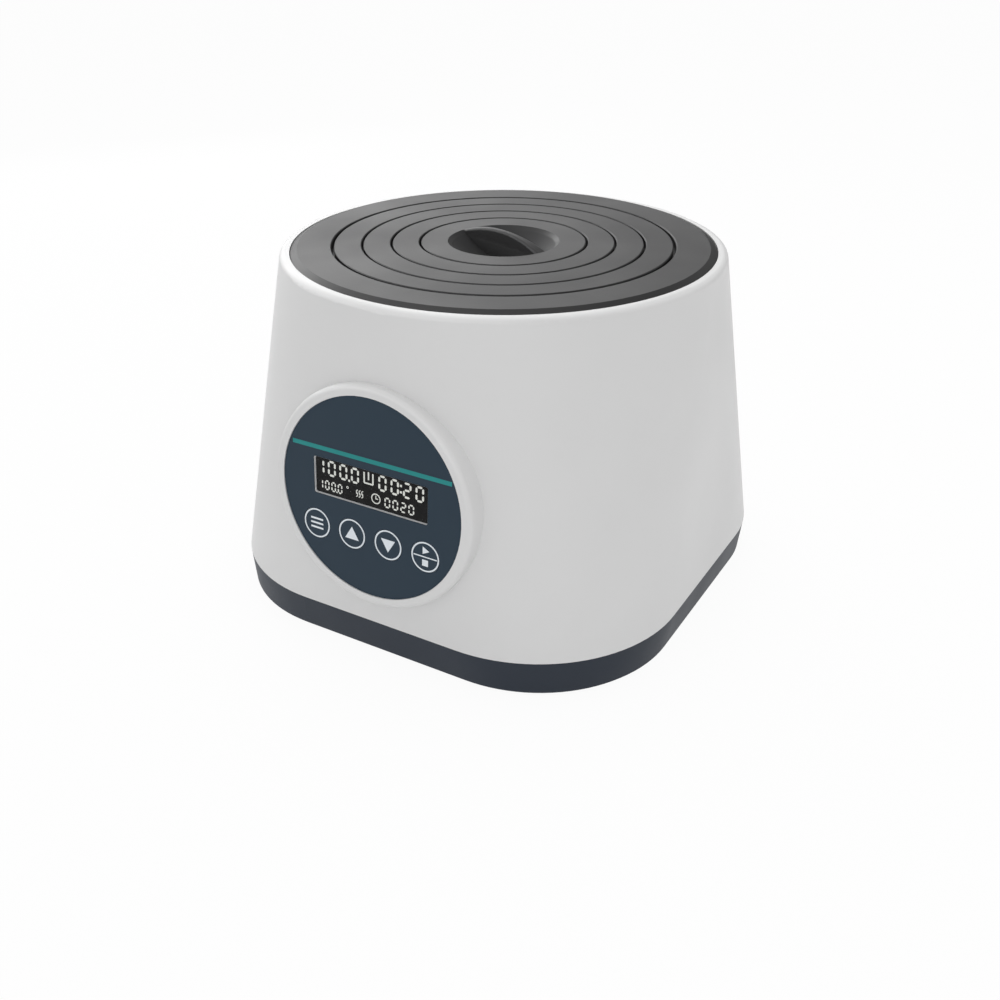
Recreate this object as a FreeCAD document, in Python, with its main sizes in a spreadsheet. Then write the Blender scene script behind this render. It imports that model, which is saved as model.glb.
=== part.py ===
import FreeCAD, Part
import math
import os
import re
import Sketcher

# Laboratory water bath, millimetres. Origin on the bath's axis, on the bench.
# +Z is up and the control panel faces -Y.

Vector = FreeCAD.Vector
Rotation = FreeCAD.Rotation
Placement = FreeCAD.Placement

SIZES = {
    # Moulded body: a rounded square at the base band that turns into a circle at the rim
    "base_level": 2.0,
    "band_level": 20.0,
    "shell_level": 167.8,
    "tray_inset": 2.25,
    "tray_corner_inset": 4.9,
    "base_half": 115.25,
    "base_corner": 73.1,
    "rim_radius": 104.75,
    "rim_flat_angle": 1.0,
    "shell_wall": 2.6,
    "lip_level": 165.2,
    "rim_opening": 99.9,
    "shelf_level": 158.0,
    "shelf_thickness": 3.0,
    "shelf_opening": 84.0,
    "tray_floor": 3.0,
    "tray_chamfer": 1.4,
    "vent_pitch": 12.0,
    "vent_half_width": 1.5,
    "vent_near": 58.0,
    "vent_far": 88.0,
    # Nested covers: the radius of each groove between two rings, and how they seat
    "top_level": 169.0,
    "cover_plate": 4.0,
    "cover_step": 4.0,
    "groove_outer": 80.0,
    "groove_middle": 66.2,
    "groove_inner": 52.6,
    "groove_lid": 39.2,
    "groove_gap": 1.0,
    "collar_groove_gap": 1.4,
    "seat_width": 5.0,
    "nest_gap": 0.6,
    "edge_break": 0.4,
    # Collar round the covers
    "collar_gap": 0.4,
    "collar_chamfer_width": 3.1,
    "collar_chamfer_height": 1.6,
    # Centre lid: dish, and the arched fin that it is lifted by
    "dish_radius": 26.3,
    "dish_depth": 10.0,
    "dish_wall": 2.5,
    "fin_crest": 4.5,
    "fin_middle": 3.4,
    "fin_end": 6.4,
    "fin_round": 1.2,
    "fin_root": 1.2,
    "fin_angle": 19.0,
    # Tank, gasket and insulation
    "tank_radius": 74.0,
    "tank_wall": 1.0,
    "tank_floor_level": 46.0,
    "tank_bend": 14.0,
    "flange_radius": 95.0,
    "gasket_inner": 84.5,
    "gasket_thickness": 1.5,
    "insulation_gap": 0.3,
    "insulation_thickness": 6.0,
    "insulation_low": 64.0,
    "insulation_high": 150.0,
    # Collar screws, driven up from under the shelf
    "collar_screw_count": 6,
    "collar_screw_circle": 90.0,
    "collar_screw_radius": 1.5,
    "collar_screw_reach": 5.0,
    "screw_head_radius": 2.9,
    "screw_head_height": 2.2,
    "fit_gap": 0.05,
    "clear_gap": 0.3,
    "tip_gap": 0.5,
    "cut_over": 1.0,
    # Heater pack under the tank
    "heater_plate_radius": 50.0,
    "heater_plate_thickness": 3.0,
    "element_circle": 40.0,
    "element_radius": 3.0,
    "element_leg_spread": 5.0,
    "element_leg_radius": 1.4,
    "element_leg_low": 33.5,
    "clamp_outer": 49.0,
    "clamp_inner": 20.0,
    "clamp_thickness": 2.0,
    "clamp_pillar_circle": 30.0,
    "clamp_pillar_radius": 3.0,
    "clamp_pillar_count": 3,
    "cutoff_radius": 8.0,
    "cutoff_height": 5.0,
    "cutoff_blade": 3.0,
    "blade_half_width": 0.4,
    "blade_place": 4.0,
    "probe_radius": 3.0,
    "probe_height": 7.0,
    "probe_offset": 56.0,
    # Heat shield over the electronics
    "shield_level": 31.0,
    "shield_radius": 68.0,
    "shield_thickness": 1.0,
    "shield_rim": 3.0,
    "shield_leg_width": 10.0,
    "shield_leg_thickness": 1.5,
    "shield_slot_half": 10.0,
    "shield_slot_near": 34.0,
    "shield_slot_far": 60.5,
    # Feet and the screws that hold the tray to the body
    "foot_place": 65.0,
    "foot_radius": 9.0,
    "foot_height": 3.5,
    "foot_flare": 1.0,
    "post_place": 79.0,
    "post_radius": 4.5,
    "post_top": 108.0,
    "rib_thickness": 2.4,
    "tray_post_radius": 6.0,
    "base_screw_radius": 1.5,
    "base_screw_reach": 14.0,
    "base_screw_sink": 3.2,
    # Control panel: a round boss that leans back with the front wall
    "panel_stand": 4.8,
    "panel_level": 84.3,
    "panel_tilt": 4.8,
    "boss_radius": 51.5,
    "boss_rim": 0.5,
    "boss_root": 12.0,
    "boss_round": 2.4,
    "boss_wall": 3.0,
    "boss_floor": 3.7,
    "plate_radius": 46.6,
    "plate_thickness": 0.5,
    "plate_gap": 0.15,
    "window_half_width": 29.8,
    "window_half_height": 8.75,
    "window_rise": 5.0,
    "window_corner": 1.0,
    "window_frame": 0.1,
    "module_half_width": 36.0,
    "module_half_height": 15.0,
    "nose_gap": 1.9,
    "key_pitch": 19.3,
    "key_drop": 18.9,
    "key_radius": 7.3,
    "key_gap": 0.15,
    "key_cap": 0.8,
    "key_room": 0.4,
    "key_stem_radius": 2.0,
    "key_stem_gap": 0.3,
    "key_stem_end": 5.5,
    "board_depth": 10.4,
    "board_thickness": 1.6,
    "board_half_width": 38.4,
    "board_high": 27.0,
    "board_low": 26.0,
    "board_post_half_width": 35.0,
    "board_post_high": 23.3,
    "board_post_low": 22.5,
    "board_post_radius": 2.6,
    "board_screw_radius": 1.1,
    "board_screw_reach": 4.5,
    "switch_half": 3.0,
    "switch_body": 3.5,
    "switch_plunger_radius": 1.6,
    "switch_plunger_top": 5.9,
    "buzzer_radius": 6.0,
    "buzzer_height": 7.0,
    "buzzer_across": 20.0,
    "buzzer_rise": 4.0,
    # Mains inlet, fuse drawer and rocker switch in the rear wall
    "inlet_level": 42.0,
    "bezel_half_width": 30.0,
    "bezel_half_height": 15.5,
    "bezel_corner": 2.0,
    "bezel_thickness": 2.0,
    "carrier_half_width": 28.0,
    "carrier_half_height": 13.7,
    "carrier_depth": 22.0,
    "carrier_gap": 0.2,
    "socket_centre": 14.0,
    "socket_half_width": 12.1,
    "socket_half_height": 8.3,
    "socket_clip": 4.0,
    "socket_depth": 16.0,
    "pin_pitch": 7.0,
    "pin_offset": 2.0,
    "pin_half_width": 1.0,
    "pin_half_height": 2.0,
    "pin_top": 4.9,
    "pin_tail": 29.0,
    "drawer_centre": 4.9,
    "drawer_half_width": 4.2,
    "drawer_half_height": 11.7,
    "drawer_depth": 17.7,
    "drawer_proud": 0.8,
    "drawer_gap": 0.3,
    "drawer_wall": 1.3,
    "fuse_radius": 2.5,
    "fuse_half_length": 10.0,
    "fuse_depth": 5.5,
    "fuse_cap": 5.0,
    "rocker_centre": 19.2,
    "rocker_half_width": 5.9,
    "rocker_half_length": 9.0,
    "rocker_high": 3.9,
    "rocker_low": 2.0,
    "rocker_gap": 0.4,
    "rocker_pocket_half": 10.4,
    "rocker_pocket_depth": 7.0,
    "rocker_lean": 10.0,
    "rocker_axle_depth": 0.5,
    "rocker_axle_radius": 1.2,
    "rocker_axle_reach": 1.0,
    # Power board on the tray
    "board_level": 11.0,
    "power_half_width": 58.0,
    "power_front": 45.0,
    "power_back": 35.0,
    "power_inset": 5.0,
    "standoff_radius": 3.5,
    "power_screw_radius": 1.4,
    "power_screw_reach": 4.5,
    "transformer_width": 36.0,
    "transformer_length": 30.0,
    "transformer_height": 17.0,
    "transformer_across": -32.0,
    "transformer_along": 4.0,
    "transformer_yoke": 6.0,
    "winding_margin": 1.5,
    "heatsink_across": 36.0,
    "heatsink_along": 2.0,
    "heatsink_width": 30.0,
    "heatsink_length": 32.0,
    "heatsink_height": 15.0,
    "heatsink_base": 2.4,
    "fin_count": 7,
    "fin_thickness": 1.4,
    "relay_across": 36.0,
    "relay_along": -28.0,
    "relay_width": 20.0,
    "relay_length": 16.0,
    "relay_height": 15.5,
    "terminal_across": -14.0,
    "terminal_back": 34.0,
    "terminal_depth": 10.0,
    "terminal_height": 11.0,
    "terminal_pitch": 7.0,
    "terminal_hole": 1.9,
    # Wires
    "mains_lead_radius": 1.6,
    "mains_lead_drop": 75.0,
    "mains_lead_level": 18.1,
    "lead_bend": 5.0,
    "heater_lead_radius": 1.2,
    "probe_lead_radius": 0.9,
    "probe_landing": 2.0,
    "ribbon_half_width": 10.0,
    "ribbon_thickness": 0.9,
    "ribbon_drop": 18.0,
    "ribbon_bend": 5.0,
    "ribbon_landing": 8.0,
    "ribbon_across": -20.0,
}

doc = FreeCAD.newDocument("laboratory_water_bath")
sheet = doc.addObject("Spreadsheet::Sheet", "sizes")
for row, (alias, number) in enumerate(SIZES.items(), start=1):
    sheet.set(f"A{row}", alias)
    sheet.set(f"B{row}", str(number))
    sheet.setAlias(f"B{row}", alias)
doc.recompute()


# Helpers: formulas that name the sheet's sizes
def formula(text):
    """Put the sheet's name before each size that the text names."""
    def with_sheet(word):
        name = word.group(0)
        return f"sizes.{name}" if name in SIZES else name
    return re.sub(r"[a-z][a-z0-9_]*", with_sheet, str(text))


def measure(text):
    """The value of a formula, in millimetres or degrees."""
    result = sheet.evalExpression(formula(text))
    return float(getattr(result, "Value", result))


def bind(thing, path, text):
    thing.setExpression(path, formula(text))


def place(thing, x="0", y="0", z="0", axis=(0, 0, 1), angle="0"):
    """Put a thing at a bound place, turned about one axis."""
    start = Vector(measure(x), measure(y), measure(z))
    thing.Placement = Placement(start, Rotation(Vector(*axis), measure(angle)))
    for path, text in (("x", x), ("y", y), ("z", z)):
        bind(thing, f"Placement.Base.{path}", text)
    if angle != "0":
        bind(thing, "Placement.Rotation.Angle", angle)
    return thing


# Helpers: sketches
def sketch_on(body, role, level="0"):
    """A sketch on one of the body's own planes, raised by a bound level."""
    plane = [item for item in body.Origin.OriginFeatures if item.Role == role][0]
    sketch = body.newObject("Sketcher::SketchObject", body.Name + "_sketch")
    sketch.AttachmentSupport = [(plane, "")]
    sketch.MapMode = "FlatFace"
    sketch.AttachmentOffset = Placement(Vector(0, 0, measure(level)), Rotation())
    if level != "0":
        bind(sketch, "AttachmentOffset.Base.z", level)
    return sketch


def pin_to_origin(sketch, edge, end, across, along):
    """Hold one end of an edge at bound distances from the sketch's origin."""
    for kind, text, axis in (("DistanceX", across, -2), ("DistanceY", along, -1)):
        distance = measure(text)
        if abs(distance) < 1e-9:
            sketch.addConstraint(Sketcher.Constraint("PointOnObject", edge, end, axis))
            continue
        held = sketch.addConstraint(Sketcher.Constraint(kind, -1, 1, edge, end, distance))
        bind(sketch, f"Constraints[{held}]", text)


def arc_between(start, end, radius):
    """The minor arc from start to end, anticlockwise for a positive radius."""
    if radius < 0:
        start, end = end, start
    radius = abs(radius)
    chord = end - start
    half = chord.Length / 2
    left = Vector(-chord.y, chord.x, 0).normalize()
    centre = start + chord * 0.5 + left * math.sqrt(max(radius ** 2 - half ** 2, 0))
    first = math.atan2(start.y - centre.y, start.x - centre.x)
    last = math.atan2(end.y - centre.y, end.x - centre.x)
    return Part.ArcOfCircle(Part.Circle(centre, Vector(0, 0, 1), radius), first, last)


def outline(sketch, points):
    """Draw a closed outline. A point's third value is the radius of an arc to the next point."""
    spots = [Vector(measure(point[0]), measure(point[1]), 0) for point in points]
    entries = []
    exits = []
    first_edge = sketch.GeometryCount
    for index, point in enumerate(points):
        start = spots[index]
        end = spots[(index + 1) % len(points)]
        radius = measure(point[2]) if len(point) > 2 else 0
        if radius:
            sketch.addGeometry(arc_between(start, end, radius), False)
        else:
            sketch.addGeometry(Part.LineSegment(start, end), False)
        backward = radius < 0
        entries.append(2 if backward else 1)
        exits.append(1 if backward else 2)
    for index, point in enumerate(points):
        edge = first_edge + index
        after = first_edge + (index + 1) % len(points)
        entry = entries[(index + 1) % len(points)]
        sketch.addConstraint(Sketcher.Constraint("Coincident", edge, exits[index], after, entry))
    for index, point in enumerate(points):
        edge = first_edge + index
        pin_to_origin(sketch, edge, entries[index], point[0], point[1])
        if len(point) > 2:
            radius = measure(point[2])
            held = sketch.addConstraint(Sketcher.Constraint("Radius", edge, abs(radius)))
            bind(sketch, f"Constraints[{held}]", f"abs({point[2]})")


def rounded_rectangle(sketch, half_width, half_height, corner):
    """A rectangle about the origin with four equal round corners."""
    flat_x = f"({half_width}) - ({corner})"
    flat_y = f"({half_height}) - ({corner})"
    outline(sketch, [
        (half_width, f"-({flat_y})"),
        (half_width, flat_y, corner),
        (flat_x, half_height),
        (f"-({flat_x})", half_height, corner),
        (f"-({half_width})", flat_y),
        (f"-({half_width})", f"-({flat_y})", corner),
        (f"-({flat_x})", f"-({half_height})"),
        (flat_x, f"-({half_height})", corner),
    ])


# Helpers: solids
def new_body(name):
    return doc.addObject("PartDesign::Body", name)


def turned(name, points):
    """A body turned about its Z axis from a half section of (radius, height) points."""
    body = new_body(name)
    section = sketch_on(body, "XZ_Plane")
    outline(section, points)
    turn = body.newObject("PartDesign::Revolution", name + "_turn")
    turn.Profile = section
    turn.ReferenceAxis = (section, ["V_Axis"])
    turn.Angle = 360
    return body


def pad(body, sketch, length, both_ways=False, inward=False):
    feature = body.newObject("PartDesign::Pad", body.Name + "_pad")
    feature.Profile = sketch
    bind(feature, "Length", length)
    feature.Midplane = both_ways
    feature.Reversed = inward
    return feature


def prism(name, points, low, high, role="XY_Plane"):
    """A straight solid with a drawn outline, between two levels along its plane's normal."""
    body = new_body(name)
    base = sketch_on(body, role, low)
    outline(base, points)
    pad(body, base, f"({high}) - ({low})")
    return body


def rounded_prism(name, half_width, half_height, corner, low, high):
    body = new_body(name)
    base = sketch_on(body, "XY_Plane", low)
    rounded_rectangle(base, half_width, half_height, corner)
    pad(body, base, f"({high}) - ({low})")
    return body


def circle_of_arcs(sketch, radius, flat_angle):
    """A circle in eight arcs, which a loft can match to the eight edges of a rounded square."""
    points = []
    for quarter in range(4):
        for side in (-1, 1):
            angle = f"({quarter} * 90 + {side} * {flat_angle})"
            points.append((f"{radius} * cos({angle})", f"{radius} * sin({angle})", radius))
    outline(sketch, points)


def lofted(name, low, low_half, low_corner, high, draw_top):
    """A straight-sided loft from a rounded square to a drawn top section."""
    body = new_body(name)
    bottom = sketch_on(body, "XY_Plane", low)
    rounded_rectangle(bottom, low_half, low_half, low_corner)
    top = sketch_on(body, "XY_Plane", high)
    draw_top(top)
    loft = body.newObject("PartDesign::AdditiveLoft", name + "_loft")
    loft.Profile = bottom
    loft.Sections = [top]
    loft.Ruled = True
    return body


def square_loft(name, low, low_half, low_corner, high, high_half, high_corner):
    """A straight-sided loft between two rounded squares."""
    def draw_top(sketch):
        rounded_rectangle(sketch, high_half, high_half, high_corner)
    return lofted(name, low, low_half, low_corner, high, draw_top)


def rod(name, radius, low, high, x="0", y="0"):
    """A round bar along Z."""
    bar = doc.addObject("Part::Cylinder", name)
    bind(bar, "Radius", radius)
    bind(bar, "Height", f"({high}) - ({low})")
    return place(bar, x, y, low)


def block(name, x_low, x_high, y_low, y_high, z_low, z_high):
    box = doc.addObject("Part::Box", name)
    bind(box, "Length", f"({x_high}) - ({x_low})")
    bind(box, "Width", f"({y_high}) - ({y_low})")
    bind(box, "Height", f"({z_high}) - ({z_low})")
    return place(box, x_low, y_low, z_low)


def cut(name, base, *tools):
    """Take each tool out of the base in turn."""
    for number, tool in enumerate(tools):
        result = doc.addObject("Part::Cut", f"{name}_cut_{number}")
        result.Base = base
        result.Tool = tool
        base = result
    return base


def fuse(name, *solids):
    result = doc.addObject("Part::MultiFuse", name + "_fuse")
    result.Shapes = list(solids)
    return result


def group(name, solids):
    """Separate solids that share one node."""
    result = doc.addObject("Part::Compound", name + "_group")
    result.Links = list(solids)
    return result


def common(name, first, second):
    result = doc.addObject("Part::Common", name + "_common")
    result.Base = first
    result.Tool = second
    return result


nodes = []


def node(thing, label):
    """Give a finished piece the name of its node."""
    thing.Label = label
    nodes.append(thing)
    return thing


CORNERS = ((1, 1), (-1, 1), (-1, -1), (1, -1))


def at_corners(name, place_text, make):
    """Four copies of a piece, one at each corner of a square."""
    return [
        make(f"{name}_{number}", f"{side_x} * {place_text}", f"{side_y} * {place_text}")
        for number, (side_x, side_y) in enumerate(CORNERS)
    ]


def ring_of(name, count, circle, make, first_angle="0"):
    """Copies of a piece spread evenly round a circle."""
    pieces = []
    for number in range(int(measure(count))):
        angle = f"({first_angle} + {number} * 360 / {count})"
        pieces.append(make(f"{name}_{number}", f"{circle} * cos({angle})", f"{circle} * sin({angle})"))
    return pieces


# Frames of the two leaning faces
WALL_RUN = "(lip_level - band_level)"
WALL_SLOPE = f"atan((base_half - rim_radius) / {WALL_RUN})"


def half_at(level):
    """Half the body's outer width at a level."""
    return f"(base_half - (base_half - rim_radius) * ({level} - band_level) / {WALL_RUN})"


def corner_at(level):
    """The radius of the body's round corners at a level."""
    return f"(base_corner + (rim_radius - base_corner) * ({level} - band_level) / {WALL_RUN})"


PANEL_REACH = f"({half_at('panel_level')} + panel_stand)"
TRAY_HALF = "(base_half - tray_inset)"
TRAY_CORNER = "(base_corner - tray_corner_inset)"


def on_panel(thing, x="0", rise="0", out="0"):
    """Place a thing in the panel's frame: X across, Y up the panel, Z out of it."""
    return place(
        thing,
        x,
        f"-{PANEL_REACH} + ({rise}) * sin(panel_tilt) - ({out}) * cos(panel_tilt)",
        f"panel_level + ({rise}) * cos(panel_tilt) + ({out}) * sin(panel_tilt)",
        (1, 0, 0),
        "90 - panel_tilt",
    )


def on_rear(thing, x="0", out="0", lean="0"):
    """Place a thing in the rear wall's frame: X across, Y down the wall, Z out of it."""
    return place(
        thing,
        x,
        f"{half_at('inlet_level')} + ({out}) * cos({WALL_SLOPE})",
        f"inlet_level + ({out}) * sin({WALL_SLOPE})",
        (-1, 0, 0),
        f"90 - {WALL_SLOPE} / 1 deg - ({lean})",
    )


# Levels that several pieces share
SEAT_LEVEL = "(top_level - cover_plate)"
STEP_LEVEL = "(top_level - cover_plate - cover_step)"
COLLAR_INNER = "(groove_outer + collar_groove_gap / 2)"
BATH_RADIUS = "(groove_outer - seat_width)"
GASKET_TOP = "(shelf_level + gasket_thickness)"
FLANGE_TOP = f"({GASKET_TOP} + tank_wall)"
SHELF_UNDER = "(shelf_level - shelf_thickness)"
TRAY_TOP = "(base_level + tray_floor)"
PLATE_BACK = "(-plate_thickness)"
FLOOR_BACK = "(-plate_thickness - boss_floor)"
BOARD_FRONT = "(-board_depth)"
BOARD_BACK = "(-board_depth - board_thickness)"
BEZEL_FACE = "bezel_thickness"
BOARD_TOP = "(board_level + board_thickness)"

# Body shell
# One moulding: outer form, lip round and panel boss, less the cavity, in which posts and ribs stay.
def draw_rim(sketch):
    circle_of_arcs(sketch, "rim_radius", "rim_flat_angle")


shell_form = lofted("shell_form", "band_level", "base_half", "base_corner", "lip_level", draw_rim)
LIP_ROUND = f"((shell_level - lip_level) / (1 - sin({WALL_SLOPE})))"
lip = turned("lip", [
    ("0", "lip_level"),
    ("rim_radius", "lip_level", LIP_ROUND),
    (f"rim_radius - {LIP_ROUND} * cos({WALL_SLOPE})", "shell_level"),
    ("0", "shell_level"),
])

boss = turned("boss", [
    ("0", "-boss_root"),
    ("boss_radius", "-boss_root"),
    ("boss_radius", "boss_rim - boss_round", "boss_round"),
    ("boss_radius - boss_round", "boss_rim"),
    ("0", "boss_rim"),
])
on_panel(boss)
shell_outside = fuse("shell_outside", shell_form, lip, boss)

cavity_form = square_loft(
    "cavity_form",
    "band_level", "base_half - shell_wall", "base_corner - shell_wall",
    SHELF_UNDER, f"{half_at(SHELF_UNDER)} - shell_wall", f"{corner_at(SHELF_UNDER)} - shell_wall",
)


def screw_post(name, x, y):
    return rod(name, "post_radius", "band_level", "post_top", x, y)


posts = at_corners("screw_post", "post_place", screw_post)
ribs = []
for number in range(4):
    angle = f"(45 + 90 * {number})"
    reach = "(post_place * sqrt(2))"
    rib = block(f"post_rib_{number}", "0", "base_corner", "0", "rib_thickness", "band_level", "post_top")
    place(
        rib,
        f"{reach} * cos({angle}) + rib_thickness / 2 * sin({angle})",
        f"{reach} * sin({angle}) - rib_thickness / 2 * cos({angle})",
        "band_level",
        (0, 0, 1),
        angle,
    )
    ribs.append(rib)
cavity = cut("cavity", cavity_form, fuse("post_set", *posts, *ribs))

boss_hollow = rod("boss_hollow", "boss_radius - boss_wall", "0", "boss_root + boss_wall")
on_panel(boss_hollow, out=f"{FLOOR_BACK} - boss_root - boss_wall")


def board_places():
    """Where the four screws of the display board go, across and up the panel."""
    return [
        (f"{side} * board_post_half_width", rise)
        for side in (-1, 1)
        for rise in ("-board_post_low", "board_post_high")
    ]


board_posts = []
for number, (across, rise) in enumerate(board_places()):
    board_post = rod(f"board_post_{number}", "board_post_radius", "0", "board_depth - plate_thickness - boss_floor")
    board_posts.append(on_panel(board_post, across, rise, BOARD_FRONT))
boss_cavity = cut("boss_cavity", boss_hollow, *board_posts)

shell_bore = rod("shell_bore", "rim_opening", "shelf_level", "top_level")
shelf_bore = rod("shelf_bore", "shelf_opening", f"{SHELF_UNDER} - shelf_thickness", "shell_level")


def shelf_screw_hole(name, x, y):
    return rod(name, "collar_screw_radius + clear_gap", f"{SHELF_UNDER} - cut_over", "shelf_level + cut_over", x, y)


shelf_holes = group(
    "shelf_holes", ring_of("shelf_hole", "collar_screw_count", "collar_screw_circle", shelf_screw_hole)
)

BASE_SCREW_TOP = "(band_level + base_screw_reach)"


def post_hole(name, x, y):
    top = f"{BASE_SCREW_TOP} + cut_over"
    return rod(name, "base_screw_radius + fit_gap", "band_level - cut_over", top, x, y)


post_holes = group("post_holes", at_corners("post_hole", "post_place", post_hole))

plate_recess = rod("plate_recess", "plate_radius + plate_gap", "0", "plate_thickness + boss_rim + cut_over")
on_panel(plate_recess, out=PLATE_BACK)
WINDOW_X = "(window_half_width + window_frame)"
WINDOW_Y = "(window_half_height + window_frame)"
window_hole = rounded_prism("window_hole", WINDOW_X, WINDOW_Y, "window_corner", "0", "boss_floor + 2 * cut_over")
on_panel(window_hole, "0", "window_rise", f"{FLOOR_BACK} - cut_over")
KEY_PLACES = [f"{step} * key_pitch" for step in (-1.5, -0.5, 0.5, 1.5)]
stem_holes = []
key_pockets = []
for number, across in enumerate(KEY_PLACES):
    pocket = rod(f"key_pocket_{number}", "key_radius + key_gap", "0", "key_cap + key_room")
    key_pockets.append(on_panel(pocket, across, "-key_drop", "-key_cap - key_room"))
    stem_hole = rod(f"stem_hole_{number}", "key_stem_radius + key_stem_gap", "0", "boss_floor + 2 * cut_over")
    stem_holes.append(on_panel(stem_hole, across, "-key_drop", f"{FLOOR_BACK} - cut_over"))
panel_screw_holes = []
for number, (across, rise) in enumerate(board_places()):
    screw_hole = rod(
        f"panel_screw_hole_{number}", "board_screw_radius + fit_gap", "0", "board_screw_reach + cut_over"
    )
    panel_screw_holes.append(on_panel(screw_hole, across, rise, f"{BOARD_FRONT} - tip_gap"))

rear_window = block(
    "rear_window",
    "-carrier_half_width - carrier_gap", "carrier_half_width + carrier_gap",
    "-carrier_half_height - carrier_gap", "carrier_half_height + carrier_gap",
    "-carrier_depth", "carrier_depth",
)
rear_cut = group("rear_cut", [rear_window])
on_rear(rear_cut)

housing = cut(
    "housing",
    shell_outside, cavity, boss_cavity, shell_bore, shelf_bore, shelf_holes, post_holes,
    plate_recess, window_hole, group("stem_holes", stem_holes), group("key_pockets", key_pockets),
    group("panel_screw_holes", panel_screw_holes), rear_cut,
)
node(housing, "housing_shell")

# Base tray
# A shallow moulded tray with a dark side band: posts for the body's screws, standoffs for the board.
TRAY_SIDE = "(base_level + tray_chamfer)"
tray_side = square_loft(
    "tray_side", TRAY_SIDE, TRAY_HALF, TRAY_CORNER, "band_level", "base_half", "base_corner"
)
tray_edge = square_loft(
    "tray_edge", "base_level", f"{TRAY_HALF} - tray_chamfer", f"{TRAY_CORNER} - tray_chamfer",
    TRAY_SIDE, TRAY_HALF, TRAY_CORNER,
)
tray_form = fuse("tray_form", tray_side, tray_edge)

tray_space = square_loft(
    "tray_space",
    TRAY_TOP, f"{TRAY_HALF} - shell_wall", f"{TRAY_CORNER} - shell_wall",
    "band_level", "base_half - shell_wall", "base_corner - shell_wall",
)


def tray_post(name, x, y):
    return rod(name, "tray_post_radius", TRAY_TOP, "band_level", x, y)


def power_screw_places():
    """Where the four screws of the power board go."""
    across = "(power_half_width - power_inset)"
    return [
        (f"{side} * {across}", along)
        for side in (-1, 1)
        for along in ("power_inset - power_front", "power_back - power_inset")
    ]


standoffs = [
    rod(f"standoff_{number}", "standoff_radius", TRAY_TOP, "board_level", x, y)
    for number, (x, y) in enumerate(power_screw_places())
]
tray_posts = at_corners("tray_post", "post_place", tray_post)
tray_hollow = cut("tray_hollow", tray_space, group("tray_post_set", tray_posts), group("standoff_set", standoffs))

HEAD_SEAT = "(base_level + base_screw_sink)"


def tray_screw_hole(name, x, y):
    return rod(name, "base_screw_radius + clear_gap", "base_level - cut_over", "band_level + cut_over", x, y)


def tray_head_hole(name, x, y):
    return rod(name, "screw_head_radius + clear_gap", "base_level - cut_over", HEAD_SEAT, x, y)


def foot_recess(name, x, y):
    return rod(name, "foot_radius + fit_gap", "base_level - cut_over", "foot_height", x, y)


standoff_holes = [
    rod(
        f"standoff_hole_{number}", "power_screw_radius + fit_gap",
        "board_level - power_screw_reach", "board_level + cut_over", x, y,
    )
    for number, (x, y) in enumerate(power_screw_places())
]
vents = [
    block(
        f"vent_{number}", f"{step} * vent_pitch - vent_half_width", f"{step} * vent_pitch + vent_half_width",
        "-vent_far", "-vent_near", "base_level - cut_over", f"{TRAY_TOP} + cut_over",
    )
    for number, step in enumerate((-3, -2, -1, 1, 2, 3))
]
tray = cut(
    "tray",
    tray_form, tray_hollow,
    group("tray_screw_holes", at_corners("tray_screw_hole", "post_place", tray_screw_hole)),
    group("tray_head_holes", at_corners("tray_head_hole", "post_place", tray_head_hole)),
    group("foot_recesses", at_corners("foot_recess", "foot_place", foot_recess)),
    group("standoff_holes", standoff_holes),
    group("vents", vents),
)
node(tray, "base_tray")


# Feet and tray screws
def foot(name, x, y):
    pad_body = turned(name, [
        ("0", "0"),
        ("foot_radius - foot_flare", "0"),
        ("foot_radius", "foot_flare"),
        ("foot_radius", "foot_height"),
        ("0", "foot_height"),
    ])
    return place(pad_body, x, y)


node(group("feet", at_corners("foot", "foot_place", foot)), "rubber_feet")


def screw(name, head_low, shank_high, shank_radius):
    """A pan-head screw pointing up, on its own Z axis."""
    return turned(name, [
        ("0", head_low),
        ("screw_head_radius - edge_break", head_low),
        ("screw_head_radius", f"{head_low} + edge_break"),
        ("screw_head_radius", f"{head_low} + screw_head_height"),
        (shank_radius, f"{head_low} + screw_head_height"),
        (shank_radius, shank_high),
        ("0", shank_high),
    ])


def base_screw(name, x, y):
    fastener = screw(name, f"{HEAD_SEAT} - screw_head_height", BASE_SCREW_TOP, "base_screw_radius")
    return place(fastener, x, y)


node(group("base_screw_set", at_corners("base_screw", "post_place", base_screw)), "base_screws")

# Collar, gasket, tank and insulation
COLLAR_OUTER = "(rim_opening - collar_gap)"
collar_ring = turned("collar_ring", [
    (BATH_RADIUS, FLANGE_TOP),
    (COLLAR_OUTER, FLANGE_TOP),
    (COLLAR_OUTER, "top_level - collar_chamfer_height"),
    (f"{COLLAR_OUTER} - collar_chamfer_width", "top_level"),
    (f"{COLLAR_INNER} + edge_break", "top_level"),
    (COLLAR_INNER, "top_level - edge_break"),
    (COLLAR_INNER, SEAT_LEVEL),
    (BATH_RADIUS, SEAT_LEVEL),
])


def collar_screw_hole(name, x, y):
    top = f"{FLANGE_TOP} + collar_screw_reach + tip_gap"
    return rod(name, "collar_screw_radius + fit_gap", f"{FLANGE_TOP} - cut_over", top, x, y)


collar_holes = group(
    "collar_holes", ring_of("collar_hole", "collar_screw_count", "collar_screw_circle", collar_screw_hole)
)
node(cut("collar", collar_ring, collar_holes), "top_collar")


def collar_screw(name, x, y):
    head_low = f"{SHELF_UNDER} - screw_head_height"
    fastener = screw(name, head_low, f"{FLANGE_TOP} + collar_screw_reach", "collar_screw_radius")
    return place(fastener, x, y)


collar_screws = ring_of("collar_screw", "collar_screw_count", "collar_screw_circle", collar_screw)
node(group("collar_screw_set", collar_screws), "collar_screws")


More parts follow.
